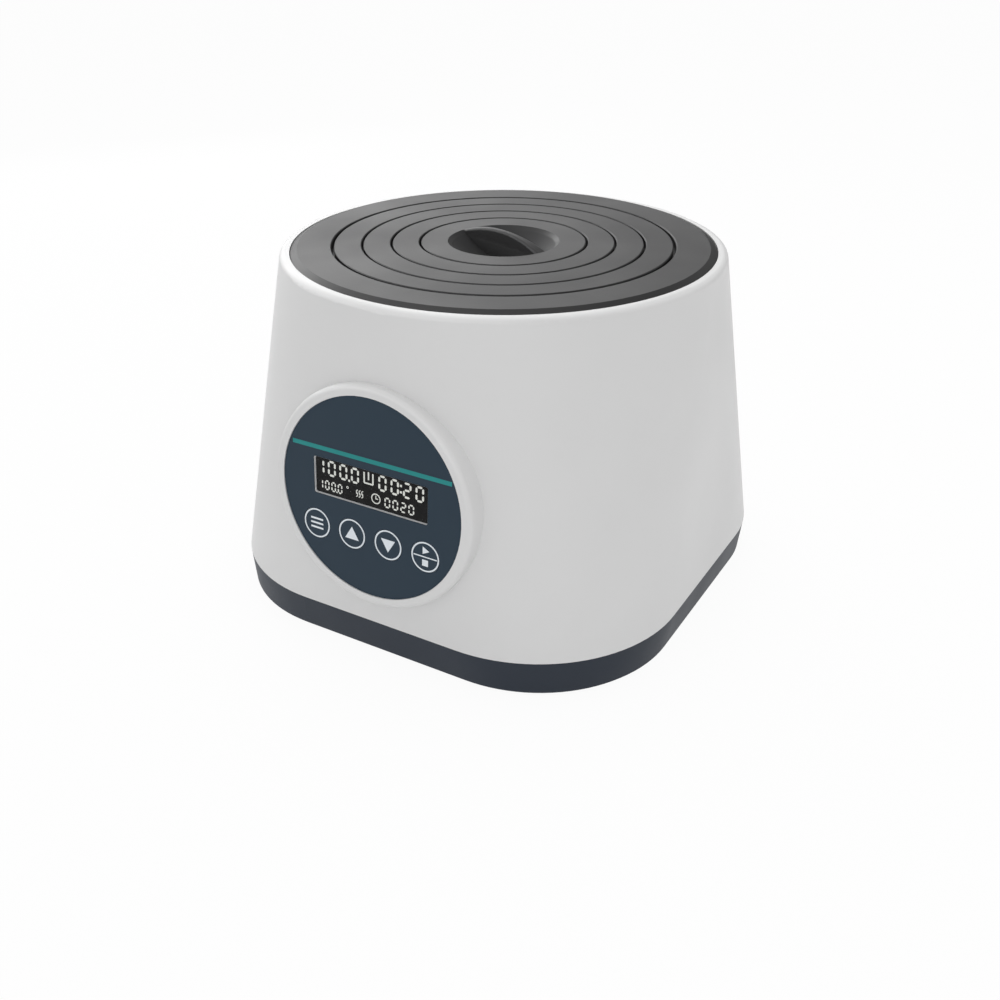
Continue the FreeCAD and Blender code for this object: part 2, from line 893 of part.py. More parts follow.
def seal_hole(name, x, y):
    low = "shelf_level - cut_over"
    return rod(name, "collar_screw_radius + clear_gap", low, f"{FLANGE_TOP} + cut_over", x, y)


gasket_ring = turned("gasket_ring", [
    ("gasket_inner", "shelf_level"),
    ("flange_radius", "shelf_level"),
    ("flange_radius", GASKET_TOP),
    ("gasket_inner", GASKET_TOP),
])
gasket_holes = group("gasket_holes", ring_of("gasket_hole", "collar_screw_count", "collar_screw_circle", seal_hole))
node(cut("gasket", gasket_ring, gasket_holes), "rim_gasket")

TANK_OUTER = "(tank_radius + tank_wall)"
tank_pan = turned("tank_pan", [
    ("0", "tank_floor_level"),
    ("tank_radius - tank_bend", "tank_floor_level", "tank_bend + tank_wall"),
    (TANK_OUTER, "tank_floor_level + tank_wall + tank_bend"),
    (TANK_OUTER, GASKET_TOP),
    ("flange_radius", GASKET_TOP),
    ("flange_radius", FLANGE_TOP),
    ("tank_radius", FLANGE_TOP),
    ("tank_radius", "tank_floor_level + tank_wall + tank_bend", "-tank_bend"),
    ("tank_radius - tank_bend", "tank_floor_level + tank_wall"),
    ("0", "tank_floor_level + tank_wall"),
])
tank_holes = group("tank_holes", ring_of("tank_hole", "collar_screw_count", "collar_screw_circle", seal_hole))
node(cut("tank", tank_pan, tank_holes), "inner_tank")

SLEEVE_INNER = f"({TANK_OUTER} + insulation_gap)"
node(turned("sleeve", [
    (SLEEVE_INNER, "insulation_low"),
    (f"{SLEEVE_INNER} + insulation_thickness", "insulation_low"),
    (f"{SLEEVE_INNER} + insulation_thickness", "insulation_high"),
    (SLEEVE_INNER, "insulation_high"),
]), "insulation_sleeve")


# Nested covers
# Each ring drops into the one outside it: a wide plate above, a narrower step below that centres it.
def cover_ring(name, outer_groove, outer_gap, inner_groove):
    outer = f"{outer_groove} - {outer_gap} / 2"
    inner = f"{inner_groove} + groove_gap / 2"
    return turned(name, [
        (f"{inner_groove} - seat_width", STEP_LEVEL),
        (f"{outer_groove} - seat_width - nest_gap", STEP_LEVEL),
        (f"{outer_groove} - seat_width - nest_gap", SEAT_LEVEL),
        (outer, SEAT_LEVEL),
        (outer, "top_level - edge_break"),
        (f"{outer} - edge_break", "top_level"),
        (f"{inner} + edge_break", "top_level"),
        (inner, "top_level - edge_break"),
        (inner, SEAT_LEVEL),
        (f"{inner_groove} - seat_width", SEAT_LEVEL),
    ])


node(cover_ring("outer_ring", "groove_outer", "collar_groove_gap", "groove_middle"), "cover_ring_outer")
node(cover_ring("middle_ring", "groove_middle", "groove_gap", "groove_inner"), "cover_ring_middle")
node(cover_ring("inner_ring", "groove_inner", "groove_gap", "groove_lid"), "cover_ring_inner")

# Centre lid
# A small plate with a spherical dish, and an arched fin across the dish to lift it by.
DISH_SPHERE = "((dish_radius ^ 2 + dish_depth ^ 2) / (2 * dish_depth))"
DISH_CENTRE = f"(top_level - dish_depth + {DISH_SPHERE})"
DOME_SPHERE = f"({DISH_SPHERE} + dish_wall)"
DOME_FOOT = f"sqrt({DOME_SPHERE} ^ 2 - ({DISH_CENTRE} - {STEP_LEVEL}) ^ 2)"
LID_OUTER = "(groove_lid - groove_gap / 2)"
lid_plate = turned("lid_plate", [
    ("0", "top_level - dish_depth - dish_wall", DOME_SPHERE),
    (DOME_FOOT, STEP_LEVEL),
    ("groove_lid - seat_width - nest_gap", STEP_LEVEL),
    ("groove_lid - seat_width - nest_gap", SEAT_LEVEL),
    (LID_OUTER, SEAT_LEVEL),
    (LID_OUTER, "top_level - edge_break"),
    (f"{LID_OUTER} - edge_break", "top_level"),
    ("dish_radius", "top_level", f"-{DISH_SPHERE}"),
    ("0", "top_level - dish_depth"),
])

ARCH = "((dish_radius ^ 2 + fin_crest ^ 2) / (2 * fin_crest))"
fin_body = new_body("fin_body")
arch = sketch_on(fin_body, "XZ_Plane")
outline(arch, [
    ("-dish_radius", "top_level - dish_depth - dish_wall"),
    ("dish_radius", "top_level - dish_depth - dish_wall"),
    ("dish_radius", "top_level", ARCH),
    ("-dish_radius", "top_level"),
])
pad(fin_body, arch, "fin_end", both_ways=True)
doc.recompute()
full_width = fin_body.Shape.Volume

WAIST = "((fin_end - fin_middle) / 2)"
WAIST_CURVE = f"((dish_radius ^ 2 + {WAIST} ^ 2) / (2 * {WAIST}))"
waist = sketch_on(fin_body, "XY_Plane", "top_level + 2 * fin_crest")
for side in ("", "-"):
    curve = f"{side}{WAIST_CURVE}"
    outline(waist, [
        ("-dish_radius", f"{side}(fin_end / 2)", curve),
        ("dish_radius", f"{side}(fin_end / 2)"),
        ("dish_radius", f"{side}fin_end"),
        ("-dish_radius", f"{side}fin_end"),
    ])
waist_cut = fin_body.newObject("PartDesign::Pocket", "waist_cut")
waist_cut.Profile = waist
waist_cut.Type = 1
doc.recompute()
if not fin_body.Shape.Volume < full_width:
    raise RuntimeError("the fin's waist was not cut")
crest_edges = [
    f"Edge{number}"
    for number, edge in enumerate(waist_cut.Shape.Edges, start=1)
    if edge.BoundBox.ZMin > measure("top_level") - 0.01 and edge.Length > measure("dish_radius")
]
crest_round = fin_body.newObject("PartDesign::Fillet", "crest_round")
crest_round.Base = (waist_cut, crest_edges)
bind(crest_round, "Radius", "fin_round")

fin_ball = doc.addObject("Part::Sphere", "fin_ball")
bind(fin_ball, "Radius", f"{DISH_SPHERE} + fin_root")
place(fin_ball, z=DISH_CENTRE)
fin = common("fin", fin_body, fin_ball)
place(fin, axis=(0, 0, -1), angle="fin_angle")
node(fuse("lid", lid_plate, fin), "center_lid")

# Heater pack under the tank
PLATE_UNDER = "(tank_floor_level - heater_plate_thickness)"
node(rod("heater_disc", "heater_plate_radius", PLATE_UNDER, "tank_floor_level"), "heater_plate")

ELEMENT_LEVEL = f"({PLATE_UNDER} - element_radius - fit_gap)"
element_ring = doc.addObject("Part::Torus", "element_ring")
bind(element_ring, "Radius1", "element_circle")
bind(element_ring, "Radius2", "element_radius")
place(element_ring, z=ELEMENT_LEVEL)
element_legs = [
    rod(f"element_leg_{number}", "element_leg_radius", "element_leg_low", ELEMENT_LEVEL,
        f"{side} * element_leg_spread", "-element_circle")
    for number, side in enumerate((-1, 1))
]
node(fuse("element", element_ring, *element_legs), "heater_element")

CLAMP_TOP = f"({ELEMENT_LEVEL} - element_radius - fit_gap)"
clamp_ring = turned("clamp_ring", [
    ("clamp_inner", f"{CLAMP_TOP} - clamp_thickness"),
    ("clamp_outer", f"{CLAMP_TOP} - clamp_thickness"),
    ("clamp_outer", CLAMP_TOP),
    ("clamp_inner", CLAMP_TOP),
])


def clamp_pillar(name, x, y):
    return rod(name, "clamp_pillar_radius", f"{CLAMP_TOP} - clamp_thickness", PLATE_UNDER, x, y)


pillars = ring_of("clamp_pillar", "clamp_pillar_count", "clamp_pillar_circle", clamp_pillar, "90")
clamp_notch = block(
    "clamp_notch", "-shield_slot_half", "shield_slot_half", "-shield_slot_far", "-shield_slot_near",
    f"{CLAMP_TOP} - clamp_thickness - cut_over", f"{CLAMP_TOP} + tip_gap",
)
node(cut("clamp", fuse("clamp_solid", clamp_ring, *pillars), clamp_notch), "heater_clamp")

cutoff_can = rod("cutoff_can", "cutoff_radius", f"{PLATE_UNDER} - cutoff_height", PLATE_UNDER)
cutoff_blades = [
    block(
        f"cutoff_blade_{number}",
        f"{side} * blade_place - blade_half_width", f"{side} * blade_place + blade_half_width",
        "-cutoff_blade", "cutoff_blade",
        f"{PLATE_UNDER} - cutoff_height - cutoff_blade", f"{PLATE_UNDER} - cutoff_height",
    )
    for number, side in enumerate((-1, 1))
]
node(fuse("cutoff", cutoff_can, *cutoff_blades), "thermal_cutoff")
node(
    rod("probe_capsule", "probe_radius", "tank_floor_level - probe_height", "tank_floor_level", y="-probe_offset"),
    "temperature_probe",
)

# Heat shield on four bent legs
shield_pan = turned("shield_pan", [
    ("0", "shield_level"),
    ("shield_radius", "shield_level"),
    ("shield_radius", "shield_level + shield_rim"),
    ("shield_radius - shield_thickness", "shield_level + shield_rim"),
    ("shield_radius - shield_thickness", "shield_level + shield_thickness"),
    ("0", "shield_level + shield_thickness"),
])
shield_legs = []
for number in range(4):
    angle = f"(90 * {number})"
    leg = block(f"shield_leg_{number}", "0", "shield_leg_thickness", "0", "shield_leg_width", TRAY_TOP,
                "shield_level + shield_thickness / 2")
    place(
        leg,
        f"(shield_radius - shield_leg_thickness) * cos({angle}) + shield_leg_width / 2 * sin({angle})",
        f"(shield_radius - shield_leg_thickness) * sin({angle}) - shield_leg_width / 2 * cos({angle})",
        TRAY_TOP,
        (0, 0, 1),
        angle if number else "0",
    )
    shield_legs.append(leg)
shield_slot = block(
    "shield_slot", "-shield_slot_half", "shield_slot_half", "-shield_slot_far", "-shield_slot_near",
    "shield_level - cut_over", "shield_level + shield_rim",
)
node(cut("shield", fuse("shield_solid", shield_pan, *shield_legs), shield_slot), "heat_shield")

# Power board and what it carries
board_sheet = block(
    "board_sheet", "-power_half_width", "power_half_width", "-power_front", "power_back",
    "board_level", BOARD_TOP,
)
board_holes = [
    rod(
        f"board_hole_{number}", "power_screw_radius + fit_gap",
        "board_level - cut_over", f"{BOARD_TOP} + cut_over", x, y,
    )
    for number, (x, y) in enumerate(power_screw_places())
]
node(cut("board", board_sheet, group("board_holes", board_holes)), "power_board")


def board_screw(number, x, y):
    """A pan-head screw pointing down into a standoff."""
    fastener = turned(f"board_screw_{number}", [
        ("0", f"{BOARD_TOP} + screw_head_height"),
        ("screw_head_radius - edge_break", f"{BOARD_TOP} + screw_head_height"),
        ("screw_head_radius", f"{BOARD_TOP} + screw_head_height - edge_break"),
        ("screw_head_radius", BOARD_TOP),
        ("power_screw_radius", BOARD_TOP),
        ("power_screw_radius", "board_level - power_screw_reach + tip_gap"),
        ("0", "board_level - power_screw_reach + tip_gap"),
    ])
    return place(fastener, x, y)


board_screws = [board_screw(number, x, y) for number, (x, y) in enumerate(power_screw_places())]
node(group("board_screw_set", board_screws), "board_screws")

core = block(
    "core", "transformer_across - transformer_width / 2", "transformer_across + transformer_width / 2",
    "transformer_along - transformer_length / 2 + transformer_yoke",
    "transformer_along + transformer_length / 2 - transformer_yoke",
    BOARD_TOP, f"{BOARD_TOP} + transformer_height",
)
winding = block(
    "winding", "transformer_across - transformer_width / 2 + transformer_yoke",
    "transformer_across + transformer_width / 2 - transformer_yoke",
    "transformer_along - transformer_length / 2", "transformer_along + transformer_length / 2",
    f"{BOARD_TOP} + winding_margin", f"{BOARD_TOP} + transformer_height - winding_margin",
)
node(fuse("transformer_solid", core, winding), "transformer")

FIN_STEP = "((heatsink_width - fin_thickness) / (fin_count - 1))"
LEFT = "(heatsink_across - heatsink_width / 2)"
comb = [
    ("heatsink_across + heatsink_width / 2", BOARD_TOP),
    (LEFT, BOARD_TOP),
]
for number in range(int(measure("fin_count"))):
    near = f"{LEFT} + {number} * {FIN_STEP}"
    comb.append((near, f"{BOARD_TOP} + " + ("heatsink_height" if number == 0 else "heatsink_base")))
    if number:
        comb.append((near, f"{BOARD_TOP} + heatsink_height"))
    comb.append((f"{near} + fin_thickness", f"{BOARD_TOP} + heatsink_height"))
    if number < int(measure("fin_count")) - 1:
        comb.append((f"{near} + fin_thickness", f"{BOARD_TOP} + heatsink_base"))
sink = prism("sink", comb, "0", "heatsink_length", "XZ_Plane")
place(sink, y="heatsink_along + heatsink_length / 2")
node(sink, "triac_heatsink")

node(block(
    "relay_case", "relay_across - relay_width / 2", "relay_across + relay_width / 2",
    "relay_along - relay_length / 2", "relay_along + relay_length / 2",
    BOARD_TOP, f"{BOARD_TOP} + relay_height",
), "relay")

terminal_case = block(
    "terminal_case", "terminal_across - 1.5 * terminal_pitch", "terminal_across + 1.5 * terminal_pitch",
    "terminal_back - terminal_depth", "terminal_back", BOARD_TOP, f"{BOARD_TOP} + terminal_height",
)
terminal_holes = []
for number, step in enumerate((-1, 0, 1)):
    wire_hole = rod(f"wire_hole_{number}", "terminal_hole", "0", "terminal_depth")
    place(wire_hole, f"terminal_across + {step} * terminal_pitch", "terminal_back + cut_over", "mains_lead_level",
          (1, 0, 0), "90")
    terminal_holes.append(wire_hole)
node(cut("terminals", terminal_case, group("terminal_holes", terminal_holes)), "terminal_block")

# Control panel
# A dark round plate with a clear window and four round keys, in the boss's recess.
plate_disc = rod("plate_disc", "plate_radius", "0", "plate_thickness")
on_panel(plate_disc, out=PLATE_BACK)
plate_window = rounded_prism(
    "plate_window", "window_half_width + fit_gap", "window_half_height + fit_gap", "window_corner",
    "0", "plate_thickness + 2 * cut_over",
)
on_panel(plate_window, "0", "window_rise", f"{PLATE_BACK} - cut_over")
key_holes = []
for number, across in enumerate(KEY_PLACES):
    key_hole = rod(f"key_hole_{number}", "key_radius + key_gap", "0", "plate_thickness + 2 * cut_over")
    key_holes.append(on_panel(key_hole, across, "-key_drop", f"{PLATE_BACK} - cut_over"))
node(cut("plate", plate_disc, plate_window, group("key_holes", key_holes)), "panel_plate")

lens = rounded_prism("lens", "window_half_width", "window_half_height", "window_corner", "0", "plate_thickness")
node(on_panel(lens, "0", "window_rise", PLATE_BACK), "display_window")

nose = rounded_prism(
    "nose", f"{WINDOW_X} - clear_gap", f"{WINDOW_Y} - clear_gap", "window_corner",
    "board_depth - plate_thickness - boss_floor - tip_gap", "board_depth - plate_thickness - nose_gap",
)
glass = rounded_prism(
    "glass", "module_half_width", "module_half_height", "window_corner",
    "0", "board_depth - plate_thickness - boss_floor",
)
screen = fuse("screen", nose, glass)
node(on_panel(screen, "0", "window_rise", BOARD_FRONT), "display_module")

circuit = block(
    "circuit", "-board_half_width", "board_half_width", "-board_low", "board_high", "0", "board_thickness"
)
circuit_holes = [
    rod(f"circuit_hole_{number}", "board_screw_radius + fit_gap", "-cut_over", "board_thickness + cut_over", x, y)
    for number, (x, y) in enumerate(board_places())
]
display_board = cut("display_board", circuit, group("circuit_holes", circuit_holes))
node(on_panel(display_board, out=BOARD_BACK), "display_board")

switches = []
for number, across in enumerate(KEY_PLACES):
    case = block(f"switch_case_{number}", f"{across} - switch_half", f"{across} + switch_half",
                 "-key_drop - switch_half", "-key_drop + switch_half", "0", "switch_body")
    plunger = rod(f"switch_plunger_{number}", "switch_plunger_radius", "switch_body - tip_gap",
                  "board_depth - switch_plunger_top", across, "-key_drop")
    switches.append(fuse(f"switch_{number}", case, plunger))
node(on_panel(group("switch_set", switches), out=BOARD_FRONT), "key_switches")

display_screws = []
for number, (across, rise) in enumerate(board_places()):
    fastener = turned(f"display_screw_{number}", [
        ("0", "-screw_head_height"),
        ("screw_head_radius", "-screw_head_height"),
        ("screw_head_radius", "0"),
        ("board_screw_radius", "0"),
        ("board_screw_radius", "board_thickness + board_screw_reach - tip_gap"),
        ("0", "board_thickness + board_screw_reach - tip_gap"),
    ])
    display_screws.append(on_panel(fastener, across, rise, BOARD_BACK))
node(group("display_screw_set", display_screws), "display_screws")

buzzer_can = rod("buzzer_can", "buzzer_radius", "0", "buzzer_height")
node(on_panel(buzzer_can, "buzzer_across", "-buzzer_rise", f"{BOARD_BACK} - buzzer_height"), "buzzer")


# Keys: a thin round cap on a stem that reaches the switch behind it
def key(name, across):
    cap = turned(name, [
        ("0", "-key_stem_end"),
        ("key_stem_radius", "-key_stem_end"),
        ("key_stem_radius", "-key_cap"),
        ("key_radius", "-key_cap"),
        ("key_radius", "-edge_break / 2"),
        ("key_radius - edge_break / 2", "0"),
        ("0", "0"),
    ])
    return on_panel(cap, across, "-key_drop")


KEY_NAMES = ("key_menu", "key_up", "key_down", "key_start_stop")
for label, across in zip(KEY_NAMES, KEY_PLACES):
    node(key(label + "_cap", across), label)

# Mains inlet module
# A snap-in block in the rear wall with an appliance socket, a fuse drawer and a rocker switch.
bezel = rounded_prism("bezel", "bezel_half_width", "bezel_half_height", "bezel_corner", "0", BEZEL_FACE)
carrier = block(
    "carrier", "-carrier_half_width", "carrier_half_width", "-carrier_half_height", "carrier_half_height",
    "-carrier_depth", "bezel_thickness / 2",
)
SOCKET_LEFT = "(-socket_centre - socket_half_width)"
SOCKET_RIGHT = "(-socket_centre + socket_half_width)"
socket = prism("socket", [
    (SOCKET_LEFT, "socket_half_height"),
    (SOCKET_LEFT, "-socket_half_height + socket_clip"),
    (f"{SOCKET_LEFT} + socket_clip", "-socket_half_height"),
    (f"{SOCKET_RIGHT} - socket_clip", "-socket_half_height"),
    (SOCKET_RIGHT, "-socket_half_height + socket_clip"),
    (SOCKET_RIGHT, "socket_half_height"),
], f"{BEZEL_FACE} - socket_depth", f"{BEZEL_FACE} + cut_over")
PIN_PLACES = [
    ("-socket_centre - pin_pitch", "pin_offset"),
    ("-socket_centre", "-pin_offset"),
    ("-socket_centre + pin_pitch", "pin_offset"),
]


def pin_bar(name, x, y, gap, low, high):
    return block(
        name, f"{x} - pin_half_width - {gap}", f"{x} + pin_half_width + {gap}",
        f"{y} - pin_half_height - {gap}", f"{y} + pin_half_height + {gap}", low, high,
    )


pin_slots = [
    pin_bar(
        f"pin_slot_{number}", x, y, "fit_gap",
        "-carrier_depth - cut_over", f"{BEZEL_FACE} - socket_depth + cut_over",
    )
    for number, (x, y) in enumerate(PIN_PLACES)
]
drawer_slot = block(
    "drawer_slot", "drawer_centre - drawer_half_width - drawer_gap", "drawer_centre + drawer_half_width + drawer_gap",
    "-drawer_half_height - drawer_gap", "drawer_half_height + drawer_gap",
    "-drawer_depth - drawer_gap", f"{BEZEL_FACE} + cut_over",
)
rocker_pocket = block(
    "rocker_pocket",
    "rocker_centre - rocker_half_width - rocker_gap", "rocker_centre + rocker_half_width + rocker_gap",
    "-rocker_pocket_half", "rocker_pocket_half", "-rocker_pocket_depth", f"{BEZEL_FACE} + cut_over",
)
AXLE_HALF = "(rocker_half_width + rocker_gap + rocker_axle_reach)"
axle_bore = doc.addObject("Part::Cylinder", "axle_bore")
bind(axle_bore, "Radius", "rocker_axle_radius + fit_gap")
bind(axle_bore, "Height", f"2 * ({AXLE_HALF} + fit_gap)")
place(axle_bore, f"rocker_centre - {AXLE_HALF} - fit_gap", "0", "-rocker_axle_depth", (0, 1, 0), "90")
inlet = cut(
    "inlet", fuse("inlet_solid", bezel, carrier), socket, group("pin_slots", pin_slots),
    drawer_slot, rocker_pocket, axle_bore,
)
node(on_rear(inlet), "inlet_module")

pins = [
    pin_bar(f"inlet_pin_{number}", x, y, "0", "-pin_tail", f"{BEZEL_FACE} - pin_top")
    for number, (x, y) in enumerate(PIN_PLACES)
]
node(on_rear(group("pin_set", pins)), "inlet_pins")

# Fuse drawer: a tray with the fuse in a pocket that is open on one side
drawer_bar = block(
    "drawer_bar", "drawer_centre - drawer_half_width", "drawer_centre + drawer_half_width",
    "-drawer_half_height", "drawer_half_height", "-drawer_depth", f"{BEZEL_FACE} + drawer_proud",
)
drawer_pocket = block(
    "drawer_pocket",
    "drawer_centre - drawer_half_width + drawer_wall", "drawer_centre + drawer_half_width + cut_over",
    "-fuse_half_length - clear_gap", "fuse_half_length + clear_gap",
    "-fuse_depth - fuse_radius - clear_gap", "-fuse_depth + fuse_radius + clear_gap",
)
drawer_notch = block(
    "drawer_notch", "drawer_centre - drawer_half_width / 2", "drawer_centre + drawer_half_width / 2",
    "drawer_half_height - drawer_wall", "drawer_half_height + cut_over",
    f"{BEZEL_FACE} + drawer_proud / 4", f"{BEZEL_FACE} + drawer_proud + cut_over",
)
drawer = cut("drawer", drawer_bar, drawer_pocket, drawer_notch)
node(on_rear(drawer), "fuse_drawer")

fuse_tube = turned("fuse_tube", [
    ("0", "-fuse_half_length"),
    ("fuse_radius", "-fuse_half_length"),
    ("fuse_radius", "fuse_cap - fuse_half_length"),
    ("fuse_radius - edge_break", "fuse_cap - fuse_half_length"),
    ("fuse_radius - edge_break", "fuse_half_length - fuse_cap"),
    ("fuse_radius", "fuse_half_length - fuse_cap"),
    ("fuse_radius", "fuse_half_length"),
    ("0", "fuse_half_length"),
])
place(fuse_tube, "drawer_centre - drawer_half_width + drawer_wall + fuse_radius + clear_gap", "0", "-fuse_depth",
      (1, 0, 0), "90")
node(on_rear(group("fuse_set", [fuse_tube])), "fuse")

# Rocker: a shallow V on an axle, resting with one end down
rocker_bar = prism("rocker_bar", [
    ("-rocker_half_length", "rocker_high"),
    ("0", "rocker_low"),
    ("rocker_half_length", "rocker_high"),
    ("rocker_half_length", "-rocker_axle_radius"),
    ("rocker_half_length / 3", "-2 * rocker_low"),
    ("-rocker_half_length / 3", "-2 * rocker_low"),
    ("-rocker_half_length", "-rocker_axle_radius"),
], "-rocker_half_width", "rocker_half_width", "YZ_Plane")
axle = doc.addObject("Part::Cylinder", "axle")
bind(axle, "Radius", "rocker_axle_radius")
bind(axle, "Height", f"2 * {AXLE_HALF}")
place(axle, f"-{AXLE_HALF}", "0", "0", (0, 1, 0), "90")
rocker = fuse("rocker", rocker_bar, axle)
node(on_rear(rocker, "rocker_centre", "-rocker_axle_depth", "rocker_lean"), "rocker_switch")


# Wires: straight runs joined by tangent arcs
def lead(name, corners, radius, bend):
    """A round wire through three or four corner points in one upright plane."""
    spots = [Vector(*[measure(text) for text in corner]) for corner in corners]
    turn_radius = measure(bend)
    path = []
    start = spots[0]
    for before, corner, after in zip(spots, spots[1:], spots[2:]):
        arriving = (corner - before).normalize()
        leaving = (after - corner).normalize()
        half_turn = arriving.getAngle(leaving) / 2
        trim = turn_radius * math.tan(half_turn)
        enter = corner - arriving * trim
        leave = corner + leaving * trim
        inside = (leaving - arriving).normalize()
        middle = corner + inside * (turn_radius / math.cos(half_turn) - turn_radius)
        path.append(Part.LineSegment(start, enter).toShape())
        path.append(Part.Arc(enter, middle, leave).toShape())
        start = leave
    path.append(Part.LineSegment(start, spots[-1]).toShape())
    spine = Part.Wire(path)
    section = Part.Wire(Part.Circle(spots[0], spots[1] - spots[0], measure(radius)).toShape())
    wire = doc.addObject("Part::Feature", name)
    wire.Shape = spine.makePipeShell([section], True, False)
    wire.Placement = Placement()
    return wire


PIN_REACH = "(pin_offset + pin_half_height)"
TAIL = f"({half_at('inlet_level')} - pin_tail * cos({WALL_SLOPE}) - {PIN_REACH} * sin({WALL_SLOPE}) - fit_gap)"


def pin_level(y):
    """The height of an inlet pin's tail."""
    return f"(inlet_level - pin_tail * sin({WALL_SLOPE}) - ({y}) * cos({WALL_SLOPE}))"


mains_wires = [
    lead(
        f"mains_wire_{number}",
        [
            (x, TAIL, pin_level(y)),
            (x, "mains_lead_drop", pin_level(y)),
            (x, "mains_lead_drop", "mains_lead_level"),
            (x, "terminal_back - terminal_depth / 2", "mains_lead_level"),
        ],
        "mains_lead_radius", "lead_bend",
    )
    for number, (x, y) in enumerate(PIN_PLACES)
]
node(group("mains_wire_set", mains_wires), "mains_leads")

heater_wires = [
    rod(f"heater_wire_{number}", "heater_lead_radius", f"{BOARD_TOP} + fit_gap", "element_leg_low - fit_gap",
        f"{side} * element_leg_spread", "-element_circle")
    for number, side in enumerate((-1, 1))
]
node(group("heater_wire_set", heater_wires), "heater_leads")

probe_wire = lead(
    "probe_wire",
    [
        ("0", "-probe_offset", "tank_floor_level - probe_height - fit_gap"),
        ("0", "-probe_offset", "shield_level - 2 * lead_bend"),
        ("0", "-power_front + probe_landing", f"{BOARD_TOP} + probe_lead_radius + cut_over"),
    ],
    "probe_lead_radius", "lead_bend",
)
node(group("probe_wire_set", [probe_wire]), "probe_lead")

RIBBON_LOW = f"({BOARD_TOP} + fit_gap)"
RIBBON_HIGH = "(panel_level - ribbon_drop * cos(panel_tilt))"
RIBBON_FRONT = (
    f"(-{PANEL_REACH} - ribbon_drop * sin(panel_tilt)"
    " + (board_depth + board_thickness) * cos(panel_tilt) + clear_gap)"
)
RIBBON_END = "(-power_front + ribbon_landing)"
INNER_BEND = "(ribbon_bend - ribbon_thickness)"
node(prism("ribbon", [
    (RIBBON_FRONT, RIBBON_HIGH),
    (RIBBON_FRONT, f"{RIBBON_LOW} + ribbon_bend", "ribbon_bend"),
    (f"{RIBBON_FRONT} + ribbon_bend", RIBBON_LOW),
    (RIBBON_END, RIBBON_LOW),
    (RIBBON_END, f"{RIBBON_LOW} + ribbon_thickness"),
    (f"{RIBBON_FRONT} + ribbon_bend", f"{RIBBON_LOW} + ribbon_thickness", f"-{INNER_BEND}"),
    (f"{RIBBON_FRONT} + ribbon_thickness", f"{RIBBON_LOW} + ribbon_bend"),
    (f"{RIBBON_FRONT} + ribbon_thickness", RIBBON_HIGH),
], "ribbon_across - ribbon_half_width", "ribbon_across + ribbon_half_width", "YZ_Plane"), "ribbon_cable")

# Check and export
doc.recompute()
failed = [item.Name for item in doc.Objects if {"Invalid", "Error"} & set(item.State)]
if failed:
    raise RuntimeError(f"failed objects: {failed}")
for piece in nodes:
    if piece.Shape.isNull() or not piece.Shape.isValid():
        raise RuntimeError(f"{piece.Label} has no valid shape")

os.makedirs("parts", exist_ok=True)
for piece in nodes:
    piece.Shape.exportStep(f"parts/{piece.Label}.step")
    bounds = piece.Shape.BoundBox
    print(
        f"{piece.Label}: {len(piece.Shape.Solids)} solids, {piece.Shape.Volume:.0f} mm3, "
        f"x {bounds.XMin:.1f} {bounds.XMax:.1f}, y {bounds.YMin:.1f} {bounds.YMax:.1f}, "
        f"z {bounds.ZMin:.1f} {bounds.ZMax:.1f}"
    )
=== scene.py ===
import math

import bmesh
import bpy
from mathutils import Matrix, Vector


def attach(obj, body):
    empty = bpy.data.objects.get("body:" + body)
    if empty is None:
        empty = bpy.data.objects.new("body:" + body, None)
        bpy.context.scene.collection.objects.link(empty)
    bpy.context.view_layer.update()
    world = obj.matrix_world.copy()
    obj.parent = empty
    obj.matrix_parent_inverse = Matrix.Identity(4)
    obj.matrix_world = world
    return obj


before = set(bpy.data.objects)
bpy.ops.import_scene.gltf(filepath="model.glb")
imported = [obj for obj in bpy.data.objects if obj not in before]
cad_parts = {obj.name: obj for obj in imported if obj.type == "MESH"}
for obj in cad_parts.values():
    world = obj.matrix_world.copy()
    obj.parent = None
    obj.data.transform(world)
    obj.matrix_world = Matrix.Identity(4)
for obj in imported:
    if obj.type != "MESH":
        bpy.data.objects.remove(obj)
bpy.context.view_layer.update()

# Camera
# A view through a normal lens from the front right and above, at the photo's angle. It was found
# from the circles of the covers and the round panel.
camera = bpy.data.objects.new("camera", bpy.data.cameras.new("camera"))
bpy.context.scene.collection.objects.link(camera)
bpy.context.scene.camera = camera
CAMERA_PLACE = (0.2584, -0.4494, 0.3182)
CAMERA_TURN = 30.09
CAMERA_FALL = 29.18
SENSOR_WIDTH = 36.0
LENS_LENGTH = 40.14
NEAREST_SEEN = 0.01
camera.location = CAMERA_PLACE
camera.rotation_euler = (math.radians(90 - CAMERA_FALL), 0, math.radians(CAMERA_TURN))
camera.data.sensor_width = SENSOR_WIDTH
camera.data.lens = LENS_LENGTH
camera.data.clip_start = NEAREST_SEEN
bpy.context.scene.view_settings.view_transform = "Standard"

# Studio
# A white sweep under and behind the bath, a large soft box over it, a smaller one low at its left
# and back, and a weak one in front. The camera sees plain white round the bath, and so do clear
# pieces, while a gloss sees a sky with darker and brighter bands.
PLAIN_WHITE = (1.0, 1.0, 1.0, 1.0)


def seen_as_background(tree):
    """1 where a ray from the camera, a gloss or a clear piece looks at the surroundings."""
    path = tree.nodes.new("ShaderNodeLightPath")
    glossy = tree.nodes.new("ShaderNodeMath")
    glossy.operation = "MAXIMUM"
    tree.links.new(path.outputs["Is Camera Ray"], glossy.inputs[0])
    tree.links.new(path.outputs["Is Glossy Ray"], glossy.inputs[1])
    clear = tree.nodes.new("ShaderNodeMath")
    clear.operation = "MAXIMUM"
    tree.links.new(glossy.outputs[0], clear.inputs[0])
    tree.links.new(path.outputs["Is Transmission Ray"], clear.inputs[1])
    return clear.outputs[0]


